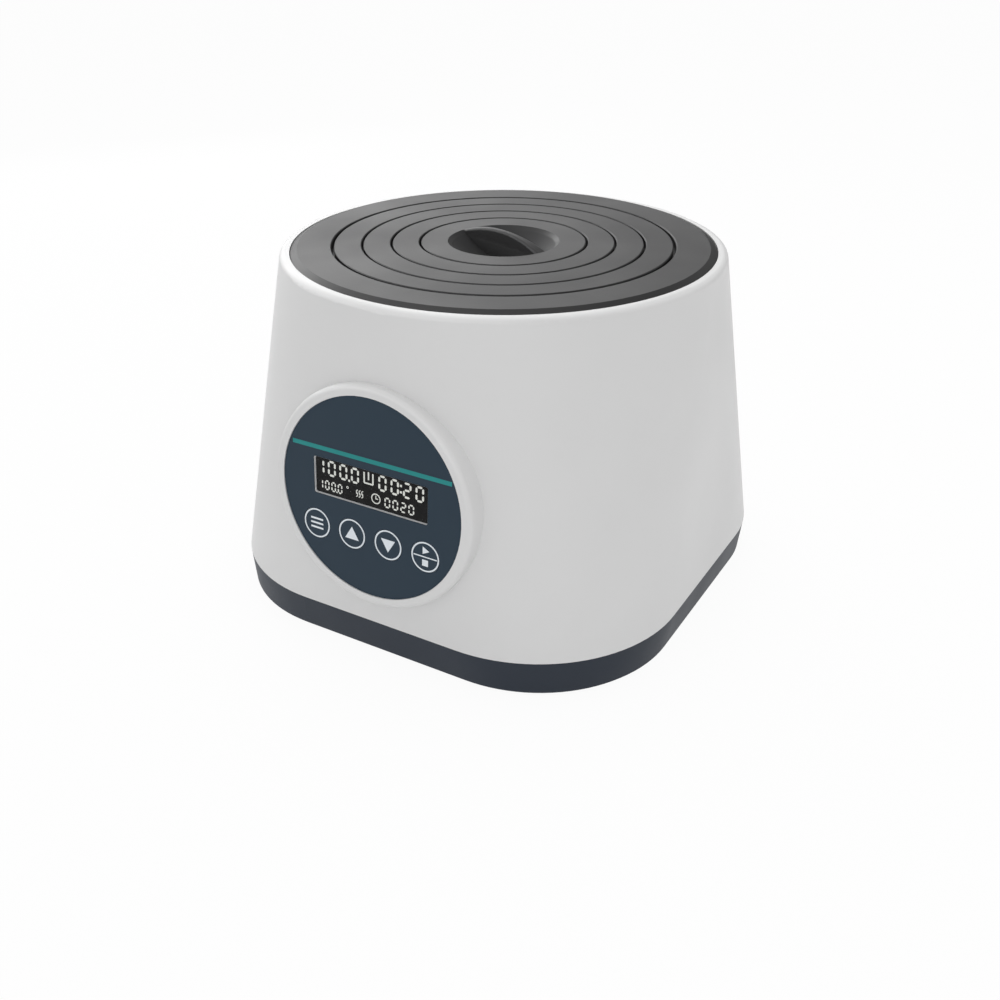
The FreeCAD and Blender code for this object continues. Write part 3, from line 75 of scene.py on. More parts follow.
SKY_STRENGTH = 0.68
SKY_LEFT = (-0.866, -0.5, 0.0)
world = bpy.data.worlds.new("studio")
bpy.context.scene.world = world
world.use_nodes = True
sky_tree = world.node_tree
sky_tree.nodes.clear()
sky_light = sky_tree.nodes.new("ShaderNodeBackground")
sky_light.inputs["Color"].default_value = PLAIN_WHITE
sky_light.inputs["Strength"].default_value = SKY_STRENGTH
sky_seen = sky_tree.nodes.new("ShaderNodeBackground")
sky_seen.inputs["Color"].default_value = PLAIN_WHITE

# A gloss sees a studio that is dark at the horizon and overhead, and brighter to the left. Each band
# says what it measures, the two marks between which it changes, and the shares of light at them.
sky_place = sky_tree.nodes.new("ShaderNodeTexCoord")
sky_parts = sky_tree.nodes.new("ShaderNodeSeparateXYZ")
sky_tree.links.new(sky_place.outputs["Generated"], sky_parts.inputs["Vector"])
sky_side = sky_tree.nodes.new("ShaderNodeVectorMath")
sky_side.operation = "DOT_PRODUCT"
sky_side.inputs[1].default_value = SKY_LEFT
sky_tree.links.new(sky_place.outputs["Generated"], sky_side.inputs[0])
SKY_BANDS = (
    (sky_parts.outputs["Z"], (0.04, 0.3), (0.1, 2.3)),
    (sky_parts.outputs["Z"], (0.34, 0.65), (1.0, 0.25)),
    (sky_side.outputs["Value"], (-0.3, 0.3), (0.15, 1.75)),
)
sky_share = None
for sky_value, sky_marks, sky_levels in SKY_BANDS:
    sky_band = sky_tree.nodes.new("ShaderNodeMapRange")
    sky_band.inputs["From Min"].default_value, sky_band.inputs["From Max"].default_value = sky_marks
    sky_band.inputs["To Min"].default_value, sky_band.inputs["To Max"].default_value = sky_levels
    sky_tree.links.new(sky_value, sky_band.inputs["Value"])
    if sky_share is None:
        sky_share = sky_band.outputs["Result"]
        continue
    sky_product = sky_tree.nodes.new("ShaderNodeMath")
    sky_product.operation = "MULTIPLY"
    sky_tree.links.new(sky_share, sky_product.inputs[0])
    sky_tree.links.new(sky_band.outputs["Result"], sky_product.inputs[1])
    sky_share = sky_product.outputs[0]
sky_path = sky_tree.nodes.new("ShaderNodeLightPath")

# The camera and clear pieces see plain white instead
sky_strength = sky_tree.nodes.new("ShaderNodeMix")
sky_strength.inputs["A"].default_value = 1.0
sky_tree.links.new(sky_path.outputs["Is Glossy Ray"], sky_strength.inputs["Factor"])
sky_tree.links.new(sky_share, sky_strength.inputs["B"])
sky_tree.links.new(sky_strength.outputs["Result"], sky_seen.inputs["Strength"])
sky_mix = sky_tree.nodes.new("ShaderNodeMixShader")
sky_out = sky_tree.nodes.new("ShaderNodeOutputWorld")
sky_tree.links.new(seen_as_background(sky_tree), sky_mix.inputs[0])
sky_tree.links.new(sky_light.outputs[0], sky_mix.inputs[1])
sky_tree.links.new(sky_seen.outputs[0], sky_mix.inputs[2])
sky_tree.links.new(sky_mix.outputs[0], sky_out.inputs["Surface"])

FLOOR_REACH = 8.0
FLOOR_TONE = (0.82, 0.82, 0.82, 1.0)
FLOOR_WHITENESS = 0.95
floor_mesh = bpy.data.meshes.new("floor")
floor_mesh.from_pydata(
    [(-FLOOR_REACH, -FLOOR_REACH, 0), (FLOOR_REACH, -FLOOR_REACH, 0),
     (FLOOR_REACH, FLOOR_REACH, 0), (-FLOOR_REACH, FLOOR_REACH, 0)],
    [], [(0, 1, 2, 3)],
)
floor = bpy.data.objects.new("floor", floor_mesh)
bpy.context.scene.collection.objects.link(floor)
floor_material = bpy.data.materials.new("white_sweep")
floor_material.use_nodes = True
floor_tree = floor_material.node_tree
floor_tree.nodes.clear()
floor_paint = floor_tree.nodes.new("ShaderNodeBsdfDiffuse")
floor_paint.inputs["Color"].default_value = FLOOR_TONE
floor_glow = floor_tree.nodes.new("ShaderNodeEmission")
floor_glow.inputs["Color"].default_value = PLAIN_WHITE
floor_share = floor_tree.nodes.new("ShaderNodeMath")
floor_share.operation = "MULTIPLY"
floor_share.inputs[1].default_value = FLOOR_WHITENESS
floor_mix = floor_tree.nodes.new("ShaderNodeMixShader")
floor_out = floor_tree.nodes.new("ShaderNodeOutputMaterial")
floor_tree.links.new(seen_as_background(floor_tree), floor_share.inputs[0])
floor_tree.links.new(floor_share.outputs[0], floor_mix.inputs[0])
floor_tree.links.new(floor_paint.outputs[0], floor_mix.inputs[1])
floor_tree.links.new(floor_glow.outputs[0], floor_mix.inputs[2])
floor_tree.links.new(floor_mix.outputs[0], floor_out.inputs["Surface"])
floor_mesh.materials.append(floor_material)

LAMP_AIM = Vector((0, 0, 0.1))


def soft_box(name, place, side, power, mirrored=True):
    """A square soft box that faces the middle of the bath, with its side in metres.

    A gloss sees it only where it is mirrored.
    """
    light = bpy.data.lights.new(name, "AREA")
    light.shape = "SQUARE"
    light.size = side
    light.energy = power
    lamp = bpy.data.objects.new(name, light)
    lamp.location = place
    aim = LAMP_AIM - Vector(place)
    lamp.rotation_euler = aim.to_track_quat("-Z", "Y").to_euler()
    lamp.visible_glossy = mirrored
    bpy.context.scene.collection.objects.link(lamp)


soft_box("top_box", (-0.25, 0.25, 1.25), 0.8, 5.5, mirrored=False)
soft_box("left_back_box", (-0.85, 0.62, 0.45), 0.6, 1.6, mirrored=False)
soft_box("front_box", (0.7, -0.85, 0.45), 0.7, 1.2)

# Body shell
# One white injection moulding: a rounded square at the base band that turns into a circle at the
# rim, with the round boss of the control panel on its front. Satin, with a faint spark-eroded grain.


def tone(red, green, blue):
    """A colour given in screen values from 0 to 255, as linear light."""
    def linear(value):
        share = value / 255
        return share / 12.92 if share <= 0.04045 else ((share + 0.055) / 1.055) ** 2.4
    return (linear(red), linear(green), linear(blue), 1.0)


def shader_group(name, inputs, outputs):
    """An empty shader group with its sockets, and its input and output nodes."""
    tree = bpy.data.node_groups.new(name, "ShaderNodeTree")
    for label, default in inputs:
        socket = tree.interface.new_socket(label, in_out="INPUT", socket_type="NodeSocketFloat")
        socket.default_value = default
    for label in outputs:
        tree.interface.new_socket(label, in_out="OUTPUT", socket_type="NodeSocketFloat")
    return tree, tree.nodes.new("NodeGroupInput"), tree.nodes.new("NodeGroupOutput")


# Fine grain for bumps and slow blotches for colour and gloss, both through the solid
GRAIN_SCALE = 2500.0
BLOTCH_SCALE = 18.0
GRAIN_SCALES = [("Grain scale", GRAIN_SCALE), ("Blotch scale", BLOTCH_SCALE)]
grain_tree, grain_in, grain_out = shader_group("moulded_grain", GRAIN_SCALES, ["Grain", "Blotch"])
grain_place = grain_tree.nodes.new("ShaderNodeTexCoord")
for label, detail in (("Grain", 2.0), ("Blotch", 3.0)):
    noise = grain_tree.nodes.new("ShaderNodeTexNoise")
    noise.inputs["Detail"].default_value = detail
    grain_tree.links.new(grain_place.outputs["Object"], noise.inputs["Vector"])
    grain_tree.links.new(grain_in.outputs[label + " scale"], noise.inputs["Scale"])
    grain_tree.links.new(noise.outputs["Fac"], grain_out.inputs[label])


def plain_shader(name):
    """A new material, its tree and its principled shader."""
    material = bpy.data.materials.new(name)
    material.use_nodes = True
    tree = material.node_tree
    return material, tree, tree.nodes["Principled BSDF"]


def use_group(tree, group, **values):
    """Place a shader group, with its own values."""
    node = tree.nodes.new("ShaderNodeGroup")
    node.node_tree = group
    for label, value in values.items():
        node.inputs[label.replace("_", " ")].default_value = value
    return node


def blend_colours(tree, share, first, second):
    """A colour between two, by a share from 0 to 1."""
    mix = tree.nodes.new("ShaderNodeMix")
    mix.data_type = "RGBA"
    mix.inputs["A"].default_value = first
    mix.inputs["B"].default_value = second
    tree.links.new(share, mix.inputs["Factor"])
    return mix.outputs["Result"]


NOISE_LOW = 0.3
NOISE_HIGH = 0.7


def ranged(tree, value, low, high):
    """A noise value spread over a range. Noise seldom leaves the middle, so that is what is spread."""
    spread = tree.nodes.new("ShaderNodeMapRange")
    spread.inputs["From Min"].default_value = NOISE_LOW
    spread.inputs["From Max"].default_value = NOISE_HIGH
    spread.inputs["To Min"].default_value = low
    spread.inputs["To Max"].default_value = high
    tree.links.new(value, spread.inputs["Value"])
    return spread.outputs["Result"]


def bumped(tree, shader, height, distance):
    """Let a height from 0 to 1 raise the skin by up to a distance in metres."""
    bump = tree.nodes.new("ShaderNodeBump")
    bump.inputs["Strength"].default_value = 1.0
    bump.inputs["Distance"].default_value = distance
    tree.links.new(height, bump.inputs["Height"])
    tree.links.new(bump.outputs["Normal"], shader.inputs["Normal"])


def moulded(name, light, dark, gloss, grain_scale, depth, specular=0.5):
    """Moulded plastic or rubber: a grain in its skin, and slow changes of shade and gloss."""
    material, tree, shader = plain_shader(name)
    grain = use_group(tree, grain_tree, Grain_scale=grain_scale, Blotch_scale=BLOTCH_SCALE)
    colour = blend_colours(tree, grain.outputs["Blotch"], light, dark)
    tree.links.new(colour, shader.inputs["Base Color"])
    tree.links.new(ranged(tree, grain.outputs["Blotch"], *gloss), shader.inputs["Roughness"])
    shader.inputs["Specular IOR Level"].default_value = specular
    bumped(tree, shader, grain.outputs["Grain"], depth)
    return material


def dress(material, *names):
    """Give CAD nodes their material."""
    for name in names:
        for material_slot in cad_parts[name].material_slots:
            material_slot.material = material


body_white = moulded(
    "body_white", tone(226, 226, 226), tone(221, 221, 221), (0.36, 0.46), 2200, 0.000012
)
dress(body_white, "housing_shell")

# Base tray
# A moulded dark tray that closes the body from below and shows as the band round its foot. Its feet
# are rubber, pressed in, and its four steel screws go up into the body's posts.
base_grey = moulded("base_grey", tone(39, 47, 58), tone(36, 43, 54), (0.42, 0.55), 1800, 0.00002, 0.25)
dress(base_grey, "base_tray")
foot_rubber = moulded(
    "foot_rubber", tone(38, 38, 39), tone(30, 30, 31), (0.7, 0.85), 1500, 0.00004, 0.3
)
dress(foot_rubber, "rubber_feet")

# Long scratches or drawing lines in metal: noise that is stretched along one axis
streak_tree, streak_in, streak_out = shader_group(
    "metal_streaks", [("Across", 900.0), ("Along", 25.0)], ["Streaks"]
)
streak_place = streak_tree.nodes.new("ShaderNodeTexCoord")
streak_scale = streak_tree.nodes.new("ShaderNodeCombineXYZ")
streak_tree.links.new(streak_in.outputs["Along"], streak_scale.inputs["X"])
streak_tree.links.new(streak_in.outputs["Across"], streak_scale.inputs["Y"])
streak_tree.links.new(streak_in.outputs["Across"], streak_scale.inputs["Z"])
streak_stretch = streak_tree.nodes.new("ShaderNodeVectorMath")
streak_stretch.operation = "MULTIPLY"
streak_tree.links.new(streak_place.outputs["Object"], streak_stretch.inputs[0])
streak_tree.links.new(streak_scale.outputs["Vector"], streak_stretch.inputs[1])
streak_noise = streak_tree.nodes.new("ShaderNodeTexNoise")
streak_noise.inputs["Scale"].default_value = 1.0
streak_noise.inputs["Detail"].default_value = 2.0
streak_tree.links.new(streak_stretch.outputs["Vector"], streak_noise.inputs["Vector"])
streak_tree.links.new(streak_noise.outputs["Fac"], streak_out.inputs["Streaks"])


def drawn_metal(name, light, dark, gloss, across, along, depth):
    """Rolled or drawn metal with fine lines along it."""
    material, tree, shader = plain_shader(name)
    streaks = use_group(tree, streak_tree, Across=across, Along=along)
    colour = blend_colours(tree, streaks.outputs["Streaks"], light, dark)
    tree.links.new(colour, shader.inputs["Base Color"])
    tree.links.new(ranged(tree, streaks.outputs["Streaks"], *gloss), shader.inputs["Roughness"])
    shader.inputs["Metallic"].default_value = 1.0
    bumped(tree, shader, streaks.outputs["Streaks"], depth)
    return material


screw_steel = drawn_metal(
    "screw_steel", tone(196, 197, 198), tone(170, 171, 173), (0.25, 0.4), 700, 300, 0.00001
)
dress(screw_steel, "base_screws", "collar_screws", "board_screws", "display_screws")


def slab(mesh, outline, low, high, place):
    """A flat prism on an outline that runs anticlockwise as seen from outside.

    The place function turns two coordinates and a level into a point of the model.
    """
    under = [mesh.verts.new(place(x, y, low)) for x, y in outline]
    over = [mesh.verts.new(place(x, y, high)) for x, y in outline]
    mesh.faces.new(over)
    mesh.faces.new(under[::-1])
    count = len(outline)
    for index in range(count):
        after = (index + 1) % count
        mesh.faces.new((under[index], under[after], over[after], over[index]))


def finish_piece(name, mesh, material, body):
    """Turn built faces into a piece that rides on a body."""
    bmesh.ops.recalc_face_normals(mesh, faces=mesh.faces)
    data = bpy.data.meshes.new(name)
    mesh.to_mesh(data)
    mesh.free()
    data.materials.append(material)
    piece = bpy.data.objects.new(name, data)
    bpy.context.scene.collection.objects.link(piece)
    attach(piece, body)


# A cross drive on the face of each base screw's head, seen from below, drawn as a thin dark sheet:
# painted shade in place of the shaded recess
SCREW_PLACE = 0.079
SCREW_FACE = 0.003
DRIVE_REACH = 0.0017
DRIVE_HALF = 0.0004
DRIVE_THICKNESS = 0.00004
DRIVE_ARM = ((DRIVE_REACH, -DRIVE_HALF), (DRIVE_REACH, DRIVE_HALF), (DRIVE_HALF, DRIVE_HALF))
QUARTER_TURNS = ((1, 0), (0, 1), (-1, 0), (0, -1))
# The cross's dark colour is painted shade, laid on the flat head where a real recess would fall into
# shadow
drive_painted_shade = moulded("drive_painted_shade", tone(30, 30, 31), tone(24, 24, 25), (0.5, 0.6), 2500, 0.000004, 0.2)
drive_mesh = bmesh.new()
for across in (-SCREW_PLACE, SCREW_PLACE):
    for along in (-SCREW_PLACE, SCREW_PLACE):
        drive_outline = [
            (across + x * cosine - y * sine, along + x * sine + y * cosine)
            for cosine, sine in QUARTER_TURNS for x, y in DRIVE_ARM
        ]
        slab(
            drive_mesh, drive_outline, SCREW_FACE - DRIVE_THICKNESS, SCREW_FACE,
            lambda x, y, level: (x, y, level),
        )
finish_piece("screw_drives", drive_mesh, drive_painted_shade, "bath")

# Covers
# The fixed collar, three nested cover rings and the dished centre lid are moulded in a dark grey
# heat-proof plastic with a satin skin. The lid is lifted by the arched fin across its dish.
COVER_LOOK = (tone(54, 54, 54), tone(50, 50, 51), (0.38, 0.46), 1500, 0.00002, 0.28)
cover_grey = moulded("cover_grey", *COVER_LOOK)
dress(cover_grey, "top_collar", "cover_ring_outer", "cover_ring_middle", "cover_ring_inner")

# The lid is the same plastic, duller in its dish. It is dull up to the first of two heights, which
# are in metres, and has the covers' gloss from the second.
DISH_DULL = (0.1672, 0.1686)
DISH_ROUGHNESS = 0.61
lid_grey = moulded("lid_grey", *COVER_LOOK)
lid_tree = lid_grey.node_tree
lid_gloss = lid_tree.nodes["Principled BSDF"].inputs["Roughness"]
lid_place = lid_tree.nodes.new("ShaderNodeTexCoord")
lid_parts = lid_tree.nodes.new("ShaderNodeSeparateXYZ")
lid_tree.links.new(lid_place.outputs["Object"], lid_parts.inputs["Vector"])
lid_dull = lid_tree.nodes.new("ShaderNodeMapRange")
lid_dull.inputs["From Min"].default_value, lid_dull.inputs["From Max"].default_value = DISH_DULL
lid_dull.inputs["To Min"].default_value, lid_dull.inputs["To Max"].default_value = (DISH_ROUGHNESS, 0.0)
lid_tree.links.new(lid_parts.outputs["Z"], lid_dull.inputs["Value"])
lid_more = lid_tree.nodes.new("ShaderNodeMath")
lid_more.operation = "MAXIMUM"
lid_tree.links.new(lid_gloss.links[0].from_socket, lid_more.inputs[0])
lid_tree.links.new(lid_dull.outputs["Result"], lid_more.inputs[1])
lid_tree.links.new(lid_more.outputs[0], lid_gloss)
dress(lid_grey, "center_lid")

# Tank
# A deep-drawn stainless tank with a broad flange, brushed in rings. A silicone gasket lies on the
# flange under the body's shelf, and a foam sleeve round the wall keeps the heat in.
TANK_LINES = 1600.0
TANK_GLOSS = (0.2, 0.34)
TANK_LINE_DEPTH = 0.00001
silicone = moulded("silicone", tone(150, 152, 154), tone(138, 140, 143), (0.6, 0.75), 900, 0.00002, 0.4)
dress(silicone, "rim_gasket")
foam = moulded("foam", tone(205, 202, 190), tone(178, 174, 160), (0.9, 1.0), 700, 0.0006, 0.2)
dress(foam, "insulation_sleeve")
tank_steel, tank_tree, tank_shader = plain_shader("tank_steel")
tank_place = tank_tree.nodes.new("ShaderNodeTexCoord")
tank_parts = tank_tree.nodes.new("ShaderNodeSeparateXYZ")
tank_tree.links.new(tank_place.outputs["Object"], tank_parts.inputs["Vector"])
tank_flat = tank_tree.nodes.new("ShaderNodeCombineXYZ")
tank_tree.links.new(tank_parts.outputs["X"], tank_flat.inputs["X"])
tank_tree.links.new(tank_parts.outputs["Y"], tank_flat.inputs["Y"])
tank_radius = tank_tree.nodes.new("ShaderNodeVectorMath")
tank_radius.operation = "LENGTH"
tank_tree.links.new(tank_flat.outputs["Vector"], tank_radius.inputs[0])
tank_lines = tank_tree.nodes.new("ShaderNodeCombineXYZ")
tank_tree.links.new(tank_radius.outputs["Value"], tank_lines.inputs["X"])
tank_tree.links.new(tank_parts.outputs["Z"], tank_lines.inputs["Y"])
tank_noise = tank_tree.nodes.new("ShaderNodeTexNoise")
tank_noise.inputs["Scale"].default_value = TANK_LINES
tank_noise.inputs["Detail"].default_value = 3.0
tank_tree.links.new(tank_lines.outputs["Vector"], tank_noise.inputs["Vector"])
tank_tree.links.new(
    blend_colours(tank_tree, tank_noise.outputs["Fac"], tone(205, 206, 208), tone(176, 178, 181)),
    tank_shader.inputs["Base Color"],
)
tank_gloss = ranged(tank_tree, tank_noise.outputs["Fac"], *TANK_GLOSS)
tank_tree.links.new(tank_gloss, tank_shader.inputs["Roughness"])
tank_shader.inputs["Metallic"].default_value = 1.0
bumped(tank_tree, tank_shader, tank_noise.outputs["Fac"], TANK_LINE_DEPTH)
dress(tank_steel, "inner_tank")

# Heater pack
# A cast aluminium plate under the tank with a sheathed ring element in its groove, held by a clamp on
# three pillars, with a thermal cutoff and a temperature probe. A bent steel shield stands below it.
aluminium = drawn_metal(
    "aluminium", tone(200, 201, 203), tone(180, 181, 184), (0.3, 0.5), 500, 60, 0.00002
)
dress(aluminium, "heater_plate", "triac_heatsink")
element_steel = drawn_metal(
    "element_steel", tone(150, 140, 126), tone(118, 108, 100), (0.35, 0.5), 300, 200, 0.00002
)
dress(element_steel, "heater_element")
shield_steel = drawn_metal(
    "shield_steel", tone(190, 192, 194), tone(168, 170, 172), (0.28, 0.42), 700, 30, 0.00001
)
dress(shield_steel, "heat_shield", "heater_clamp", "temperature_probe")
black_plastic = moulded(
    "black_plastic", tone(34, 34, 36), tone(28, 28, 30), (0.35, 0.5), 2500, 0.00001, 0.4
)
dress(black_plastic, "thermal_cutoff")

# Wires
# Silicone-jacketed wires for the mains, the heater and the probe, fixed at both ends, and a grey
# ribbon that rises from the power board to the display.
wire_jacket = moulded(
    "wire_jacket", tone(170, 44, 38), tone(150, 36, 32), (0.4, 0.55), 1500, 0.00001, 0.5
)
dress(wire_jacket, "mains_leads", "heater_leads", "probe_lead")

# The ribbon has lines along its wires, so it takes the drawn pattern without the metal
ribbon_grey = drawn_metal(
    "ribbon_grey", tone(160, 162, 165), tone(130, 132, 136), (0.5, 0.6), 60, 900, 0.0001
)
ribbon_grey.node_tree.nodes["Principled BSDF"].inputs["Metallic"].default_value = 0.0
dress(ribbon_grey, "ribbon_cable")

# Power board
# A green circuit board screwed to posts on the tray, with a transformer, the triac's heatsink, a
# relay, a terminal block, and small parts soldered on.
TRACK_SCALE = 120.0
TRACK_WIDTH = 0.06
TRACK_DEPTH = 0.00004
circuit_board, circuit_tree, circuit_shader = plain_shader("circuit_board")
circuit_place = circuit_tree.nodes.new("ShaderNodeTexCoord")
circuit_tracks = circuit_tree.nodes.new("ShaderNodeTexBrick")
circuit_tracks.inputs["Scale"].default_value = TRACK_SCALE
circuit_tracks.inputs["Mortar Size"].default_value = TRACK_WIDTH
circuit_tracks.inputs["Color1"].default_value = tone(24, 92, 58)
circuit_tracks.inputs["Color2"].default_value = tone(20, 82, 52)
circuit_tracks.inputs["Mortar"].default_value = tone(66, 128, 78)
circuit_tree.links.new(circuit_place.outputs["Object"], circuit_tracks.inputs["Vector"])
circuit_tree.links.new(circuit_tracks.outputs["Color"], circuit_shader.inputs["Base Color"])
circuit_gloss = ranged(circuit_tree, circuit_tracks.outputs["Fac"], 0.3, 0.4)
circuit_tree.links.new(circuit_gloss, circuit_shader.inputs["Roughness"])
bumped(circuit_tree, circuit_shader, circuit_tracks.outputs["Fac"], TRACK_DEPTH)
dress(circuit_board, "power_board", "display_board")
transformer_core = drawn_metal(
    "transformer_core", tone(92, 88, 84), tone(70, 66, 62), (0.4, 0.6), 1200, 20, 0.00005
)
dress(transformer_core, "transformer")
terminal_plastic = moulded(
    "terminal_plastic", tone(44, 112, 72), tone(36, 98, 62), (0.35, 0.5), 1500, 0.00001, 0.5
)
dress(terminal_plastic, "terminal_block")
dress(black_plastic, "relay", "buzzer", "key_switches")

# Like rods in a row, such as resistors or the ridges of a grip: one round bar on each point of a line
ROD_SIDES = 16
ROD_STEPS = 24
ROD_END_ROUND = 6.0
ROD_END_WIDTH = 0.78
rod_tree = bpy.data.node_groups.new("row_of_rods", "GeometryNodeTree")
rod_sockets = {}
for label, kind in (
    ("Count", "NodeSocketInt"), ("Start", "NodeSocketVector"), ("Step", "NodeSocketVector"),
    ("Rod", "NodeSocketVector"), ("Radius", "NodeSocketFloat"), ("Material", "NodeSocketMaterial"),
):
    rod_socket = rod_tree.interface.new_socket(label, in_out="INPUT", socket_type=kind)
    rod_sockets[label] = rod_socket.identifier
rod_tree.interface.new_socket("Geometry", in_out="OUTPUT", socket_type="NodeSocketGeometry")
rod_in = rod_tree.nodes.new("NodeGroupInput")
rod_out = rod_tree.nodes.new("NodeGroupOutput")
rod_points = rod_tree.nodes.new("GeometryNodeMeshLine")
rod_points.mode = "OFFSET"
rod_tree.links.new(rod_in.outputs["Count"], rod_points.inputs["Count"])
rod_tree.links.new(rod_in.outputs["Start"], rod_points.inputs["Start Location"])
rod_tree.links.new(rod_in.outputs["Step"], rod_points.inputs["Offset"])
rod_line = rod_tree.nodes.new("GeometryNodeCurvePrimitiveLine")
rod_tree.links.new(rod_in.outputs["Rod"], rod_line.inputs["End"])
rod_round = rod_tree.nodes.new("GeometryNodeCurvePrimitiveCircle")
rod_round.inputs["Resolution"].default_value = ROD_SIDES
rod_tree.links.new(rod_in.outputs["Radius"], rod_round.inputs["Radius"])
rod_steps = rod_tree.nodes.new("GeometryNodeResampleCurve")
rod_steps.inputs["Count"].default_value = ROD_STEPS
rod_tree.links.new(rod_line.outputs["Curve"], rod_steps.inputs["Curve"])

# The ends are drawn in a little. Where f is the share of the way along the rod, its width is
# ROD_END_ROUND * f * (1 - f) + ROD_END_WIDTH, and at most 1.
rod_along = rod_tree.nodes.new("GeometryNodeSplineParameter")
rod_rest = rod_tree.nodes.new("ShaderNodeMath")
rod_rest.operation = "SUBTRACT"
rod_rest.inputs[0].default_value = 1.0
rod_tree.links.new(rod_along.outputs["Factor"], rod_rest.inputs[1])
rod_rise = rod_tree.nodes.new("ShaderNodeMath")
rod_rise.operation = "MULTIPLY"
rod_tree.links.new(rod_along.outputs["Factor"], rod_rise.inputs[0])
rod_tree.links.new(rod_rest.outputs[0], rod_rise.inputs[1])
rod_width = rod_tree.nodes.new("ShaderNodeMath")
rod_width.operation = "MULTIPLY_ADD"
rod_width.inputs[1].default_value = ROD_END_ROUND
rod_width.inputs[2].default_value = ROD_END_WIDTH
rod_width.use_clamp = True
rod_tree.links.new(rod_rise.outputs[0], rod_width.inputs[0])
rod_shaped = rod_tree.nodes.new("GeometryNodeSetCurveRadius")
rod_tree.links.new(rod_steps.outputs["Curve"], rod_shaped.inputs["Curve"])
rod_tree.links.new(rod_width.outputs[0], rod_shaped.inputs["Radius"])
rod_bar = rod_tree.nodes.new("GeometryNodeCurveToMesh")
rod_bar.inputs["Fill Caps"].default_value = True
rod_tree.links.new(rod_shaped.outputs["Curve"], rod_bar.inputs["Curve"])
rod_tree.links.new(rod_round.outputs["Curve"], rod_bar.inputs["Profile Curve"])
rod_copies = rod_tree.nodes.new("GeometryNodeInstanceOnPoints")
rod_tree.links.new(rod_points.outputs["Mesh"], rod_copies.inputs["Points"])
rod_tree.links.new(rod_bar.outputs["Mesh"], rod_copies.inputs["Instance"])
rod_real = rod_tree.nodes.new("GeometryNodeRealizeInstances")
rod_tree.links.new(rod_copies.outputs["Instances"], rod_real.inputs["Geometry"])
rod_paint = rod_tree.nodes.new("GeometryNodeSetMaterial")
rod_tree.links.new(rod_real.outputs["Geometry"], rod_paint.inputs["Geometry"])
rod_tree.links.new(rod_in.outputs["Material"], rod_paint.inputs["Material"])
rod_tree.links.new(rod_paint.outputs["Geometry"], rod_out.inputs["Geometry"])


def grown(name, tree, sockets, body, slot_name, **values):
    """A piece that a node tree makes, kept as a plain mesh."""
    seed = bpy.data.objects.new(name + "_seed", bpy.data.meshes.new(name + "_seed"))
    bpy.context.scene.collection.objects.link(seed)
    growth = seed.modifiers.new("growth", "NODES")
    growth.node_group = tree
    for label, value in values.items():
        growth[sockets[label]] = value
    seed.update_tag()
    evaluated = seed.evaluated_get(bpy.context.evaluated_depsgraph_get())
    grown_mesh = bpy.data.meshes.new_from_object(evaluated)
    bpy.data.objects.remove(seed)
    grown_mesh.name = name
    piece = bpy.data.objects.new(name, grown_mesh)
    bpy.context.scene.collection.objects.link(piece)
    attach(piece, body)


# Two capacitors stand at the front of the board, and four resistors lie at its back
BOARD_TOP = 0.0126
CAPACITOR_RADIUS = 0.0045
CAPACITOR_HEIGHT = 0.0115
CAPACITOR_PITCH = 0.012
FIRST_CAPACITOR = (-0.006, -0.024)
RESISTOR_RADIUS = 0.0012
RESISTOR_LENGTH = 0.009
RESISTOR_PITCH = 0.0035
FIRST_RESISTOR = (0.004, 0.021)
sleeve_blue = moulded(
    "sleeve_blue", tone(34, 52, 96), tone(28, 44, 84), (0.3, 0.4), 2500, 0.000004, 0.5
)
resistor_tan = moulded(
    "resistor_tan", tone(196, 170, 128), tone(182, 152, 110), (0.5, 0.6), 1800, 0.000008, 0.4
)
grown(
    "board_capacitors", rod_tree, rod_sockets, "bath", "circuit_board",
    Count=2, Start=Vector((*FIRST_CAPACITOR, BOARD_TOP)), Step=Vector((CAPACITOR_PITCH, 0.0, 0.0)),
    Rod=Vector((0.0, 0.0, CAPACITOR_HEIGHT)), Radius=CAPACITOR_RADIUS, Material=sleeve_blue,
)
grown(
    "board_resistors", rod_tree, rod_sockets, "bath", "circuit_board",
    Count=4, Start=Vector((*FIRST_RESISTOR, BOARD_TOP + RESISTOR_RADIUS)),
    Step=Vector((0.0, RESISTOR_PITCH, 0.0)), Rod=Vector((RESISTOR_LENGTH, 0.0, 0.0)),
    Radius=RESISTOR_RADIUS, Material=resistor_tan,
)

# Panel plate
# A thin dark blue-grey plate that is glued into the face of the boss. One teal stripe is printed
# across it above the display. Places on the panel are in millimetres, in its own frame.
PANEL_REACH = 115.4
PANEL_LEVEL = 84.3
PANEL_TILT = math.radians(4.8)
PANEL_ACROSS = Vector((1, 0, 0))
PANEL_RISE = Vector((0, math.sin(PANEL_TILT), math.cos(PANEL_TILT)))
PANEL_OUT = Vector((0, -math.cos(PANEL_TILT), math.sin(PANEL_TILT)))
PRINT_HEIGHT = 0.04
MILLIMETRE = 0.001

panel_blue = moulded("panel_blue", tone(40, 56, 69), tone(38, 53, 66), (0.42, 0.5), 3000, 0.000006, 0.2)
dress(panel_blue, "panel_plate")


def panel_point(x, rise, out):
    """A point in the panel's frame, in millimetres, as a place in the model."""
    centre = Vector((0, -PANEL_REACH, PANEL_LEVEL))
    return (centre + x * PANEL_ACROSS + rise * PANEL_RISE + out * PANEL_OUT) * MILLIMETRE


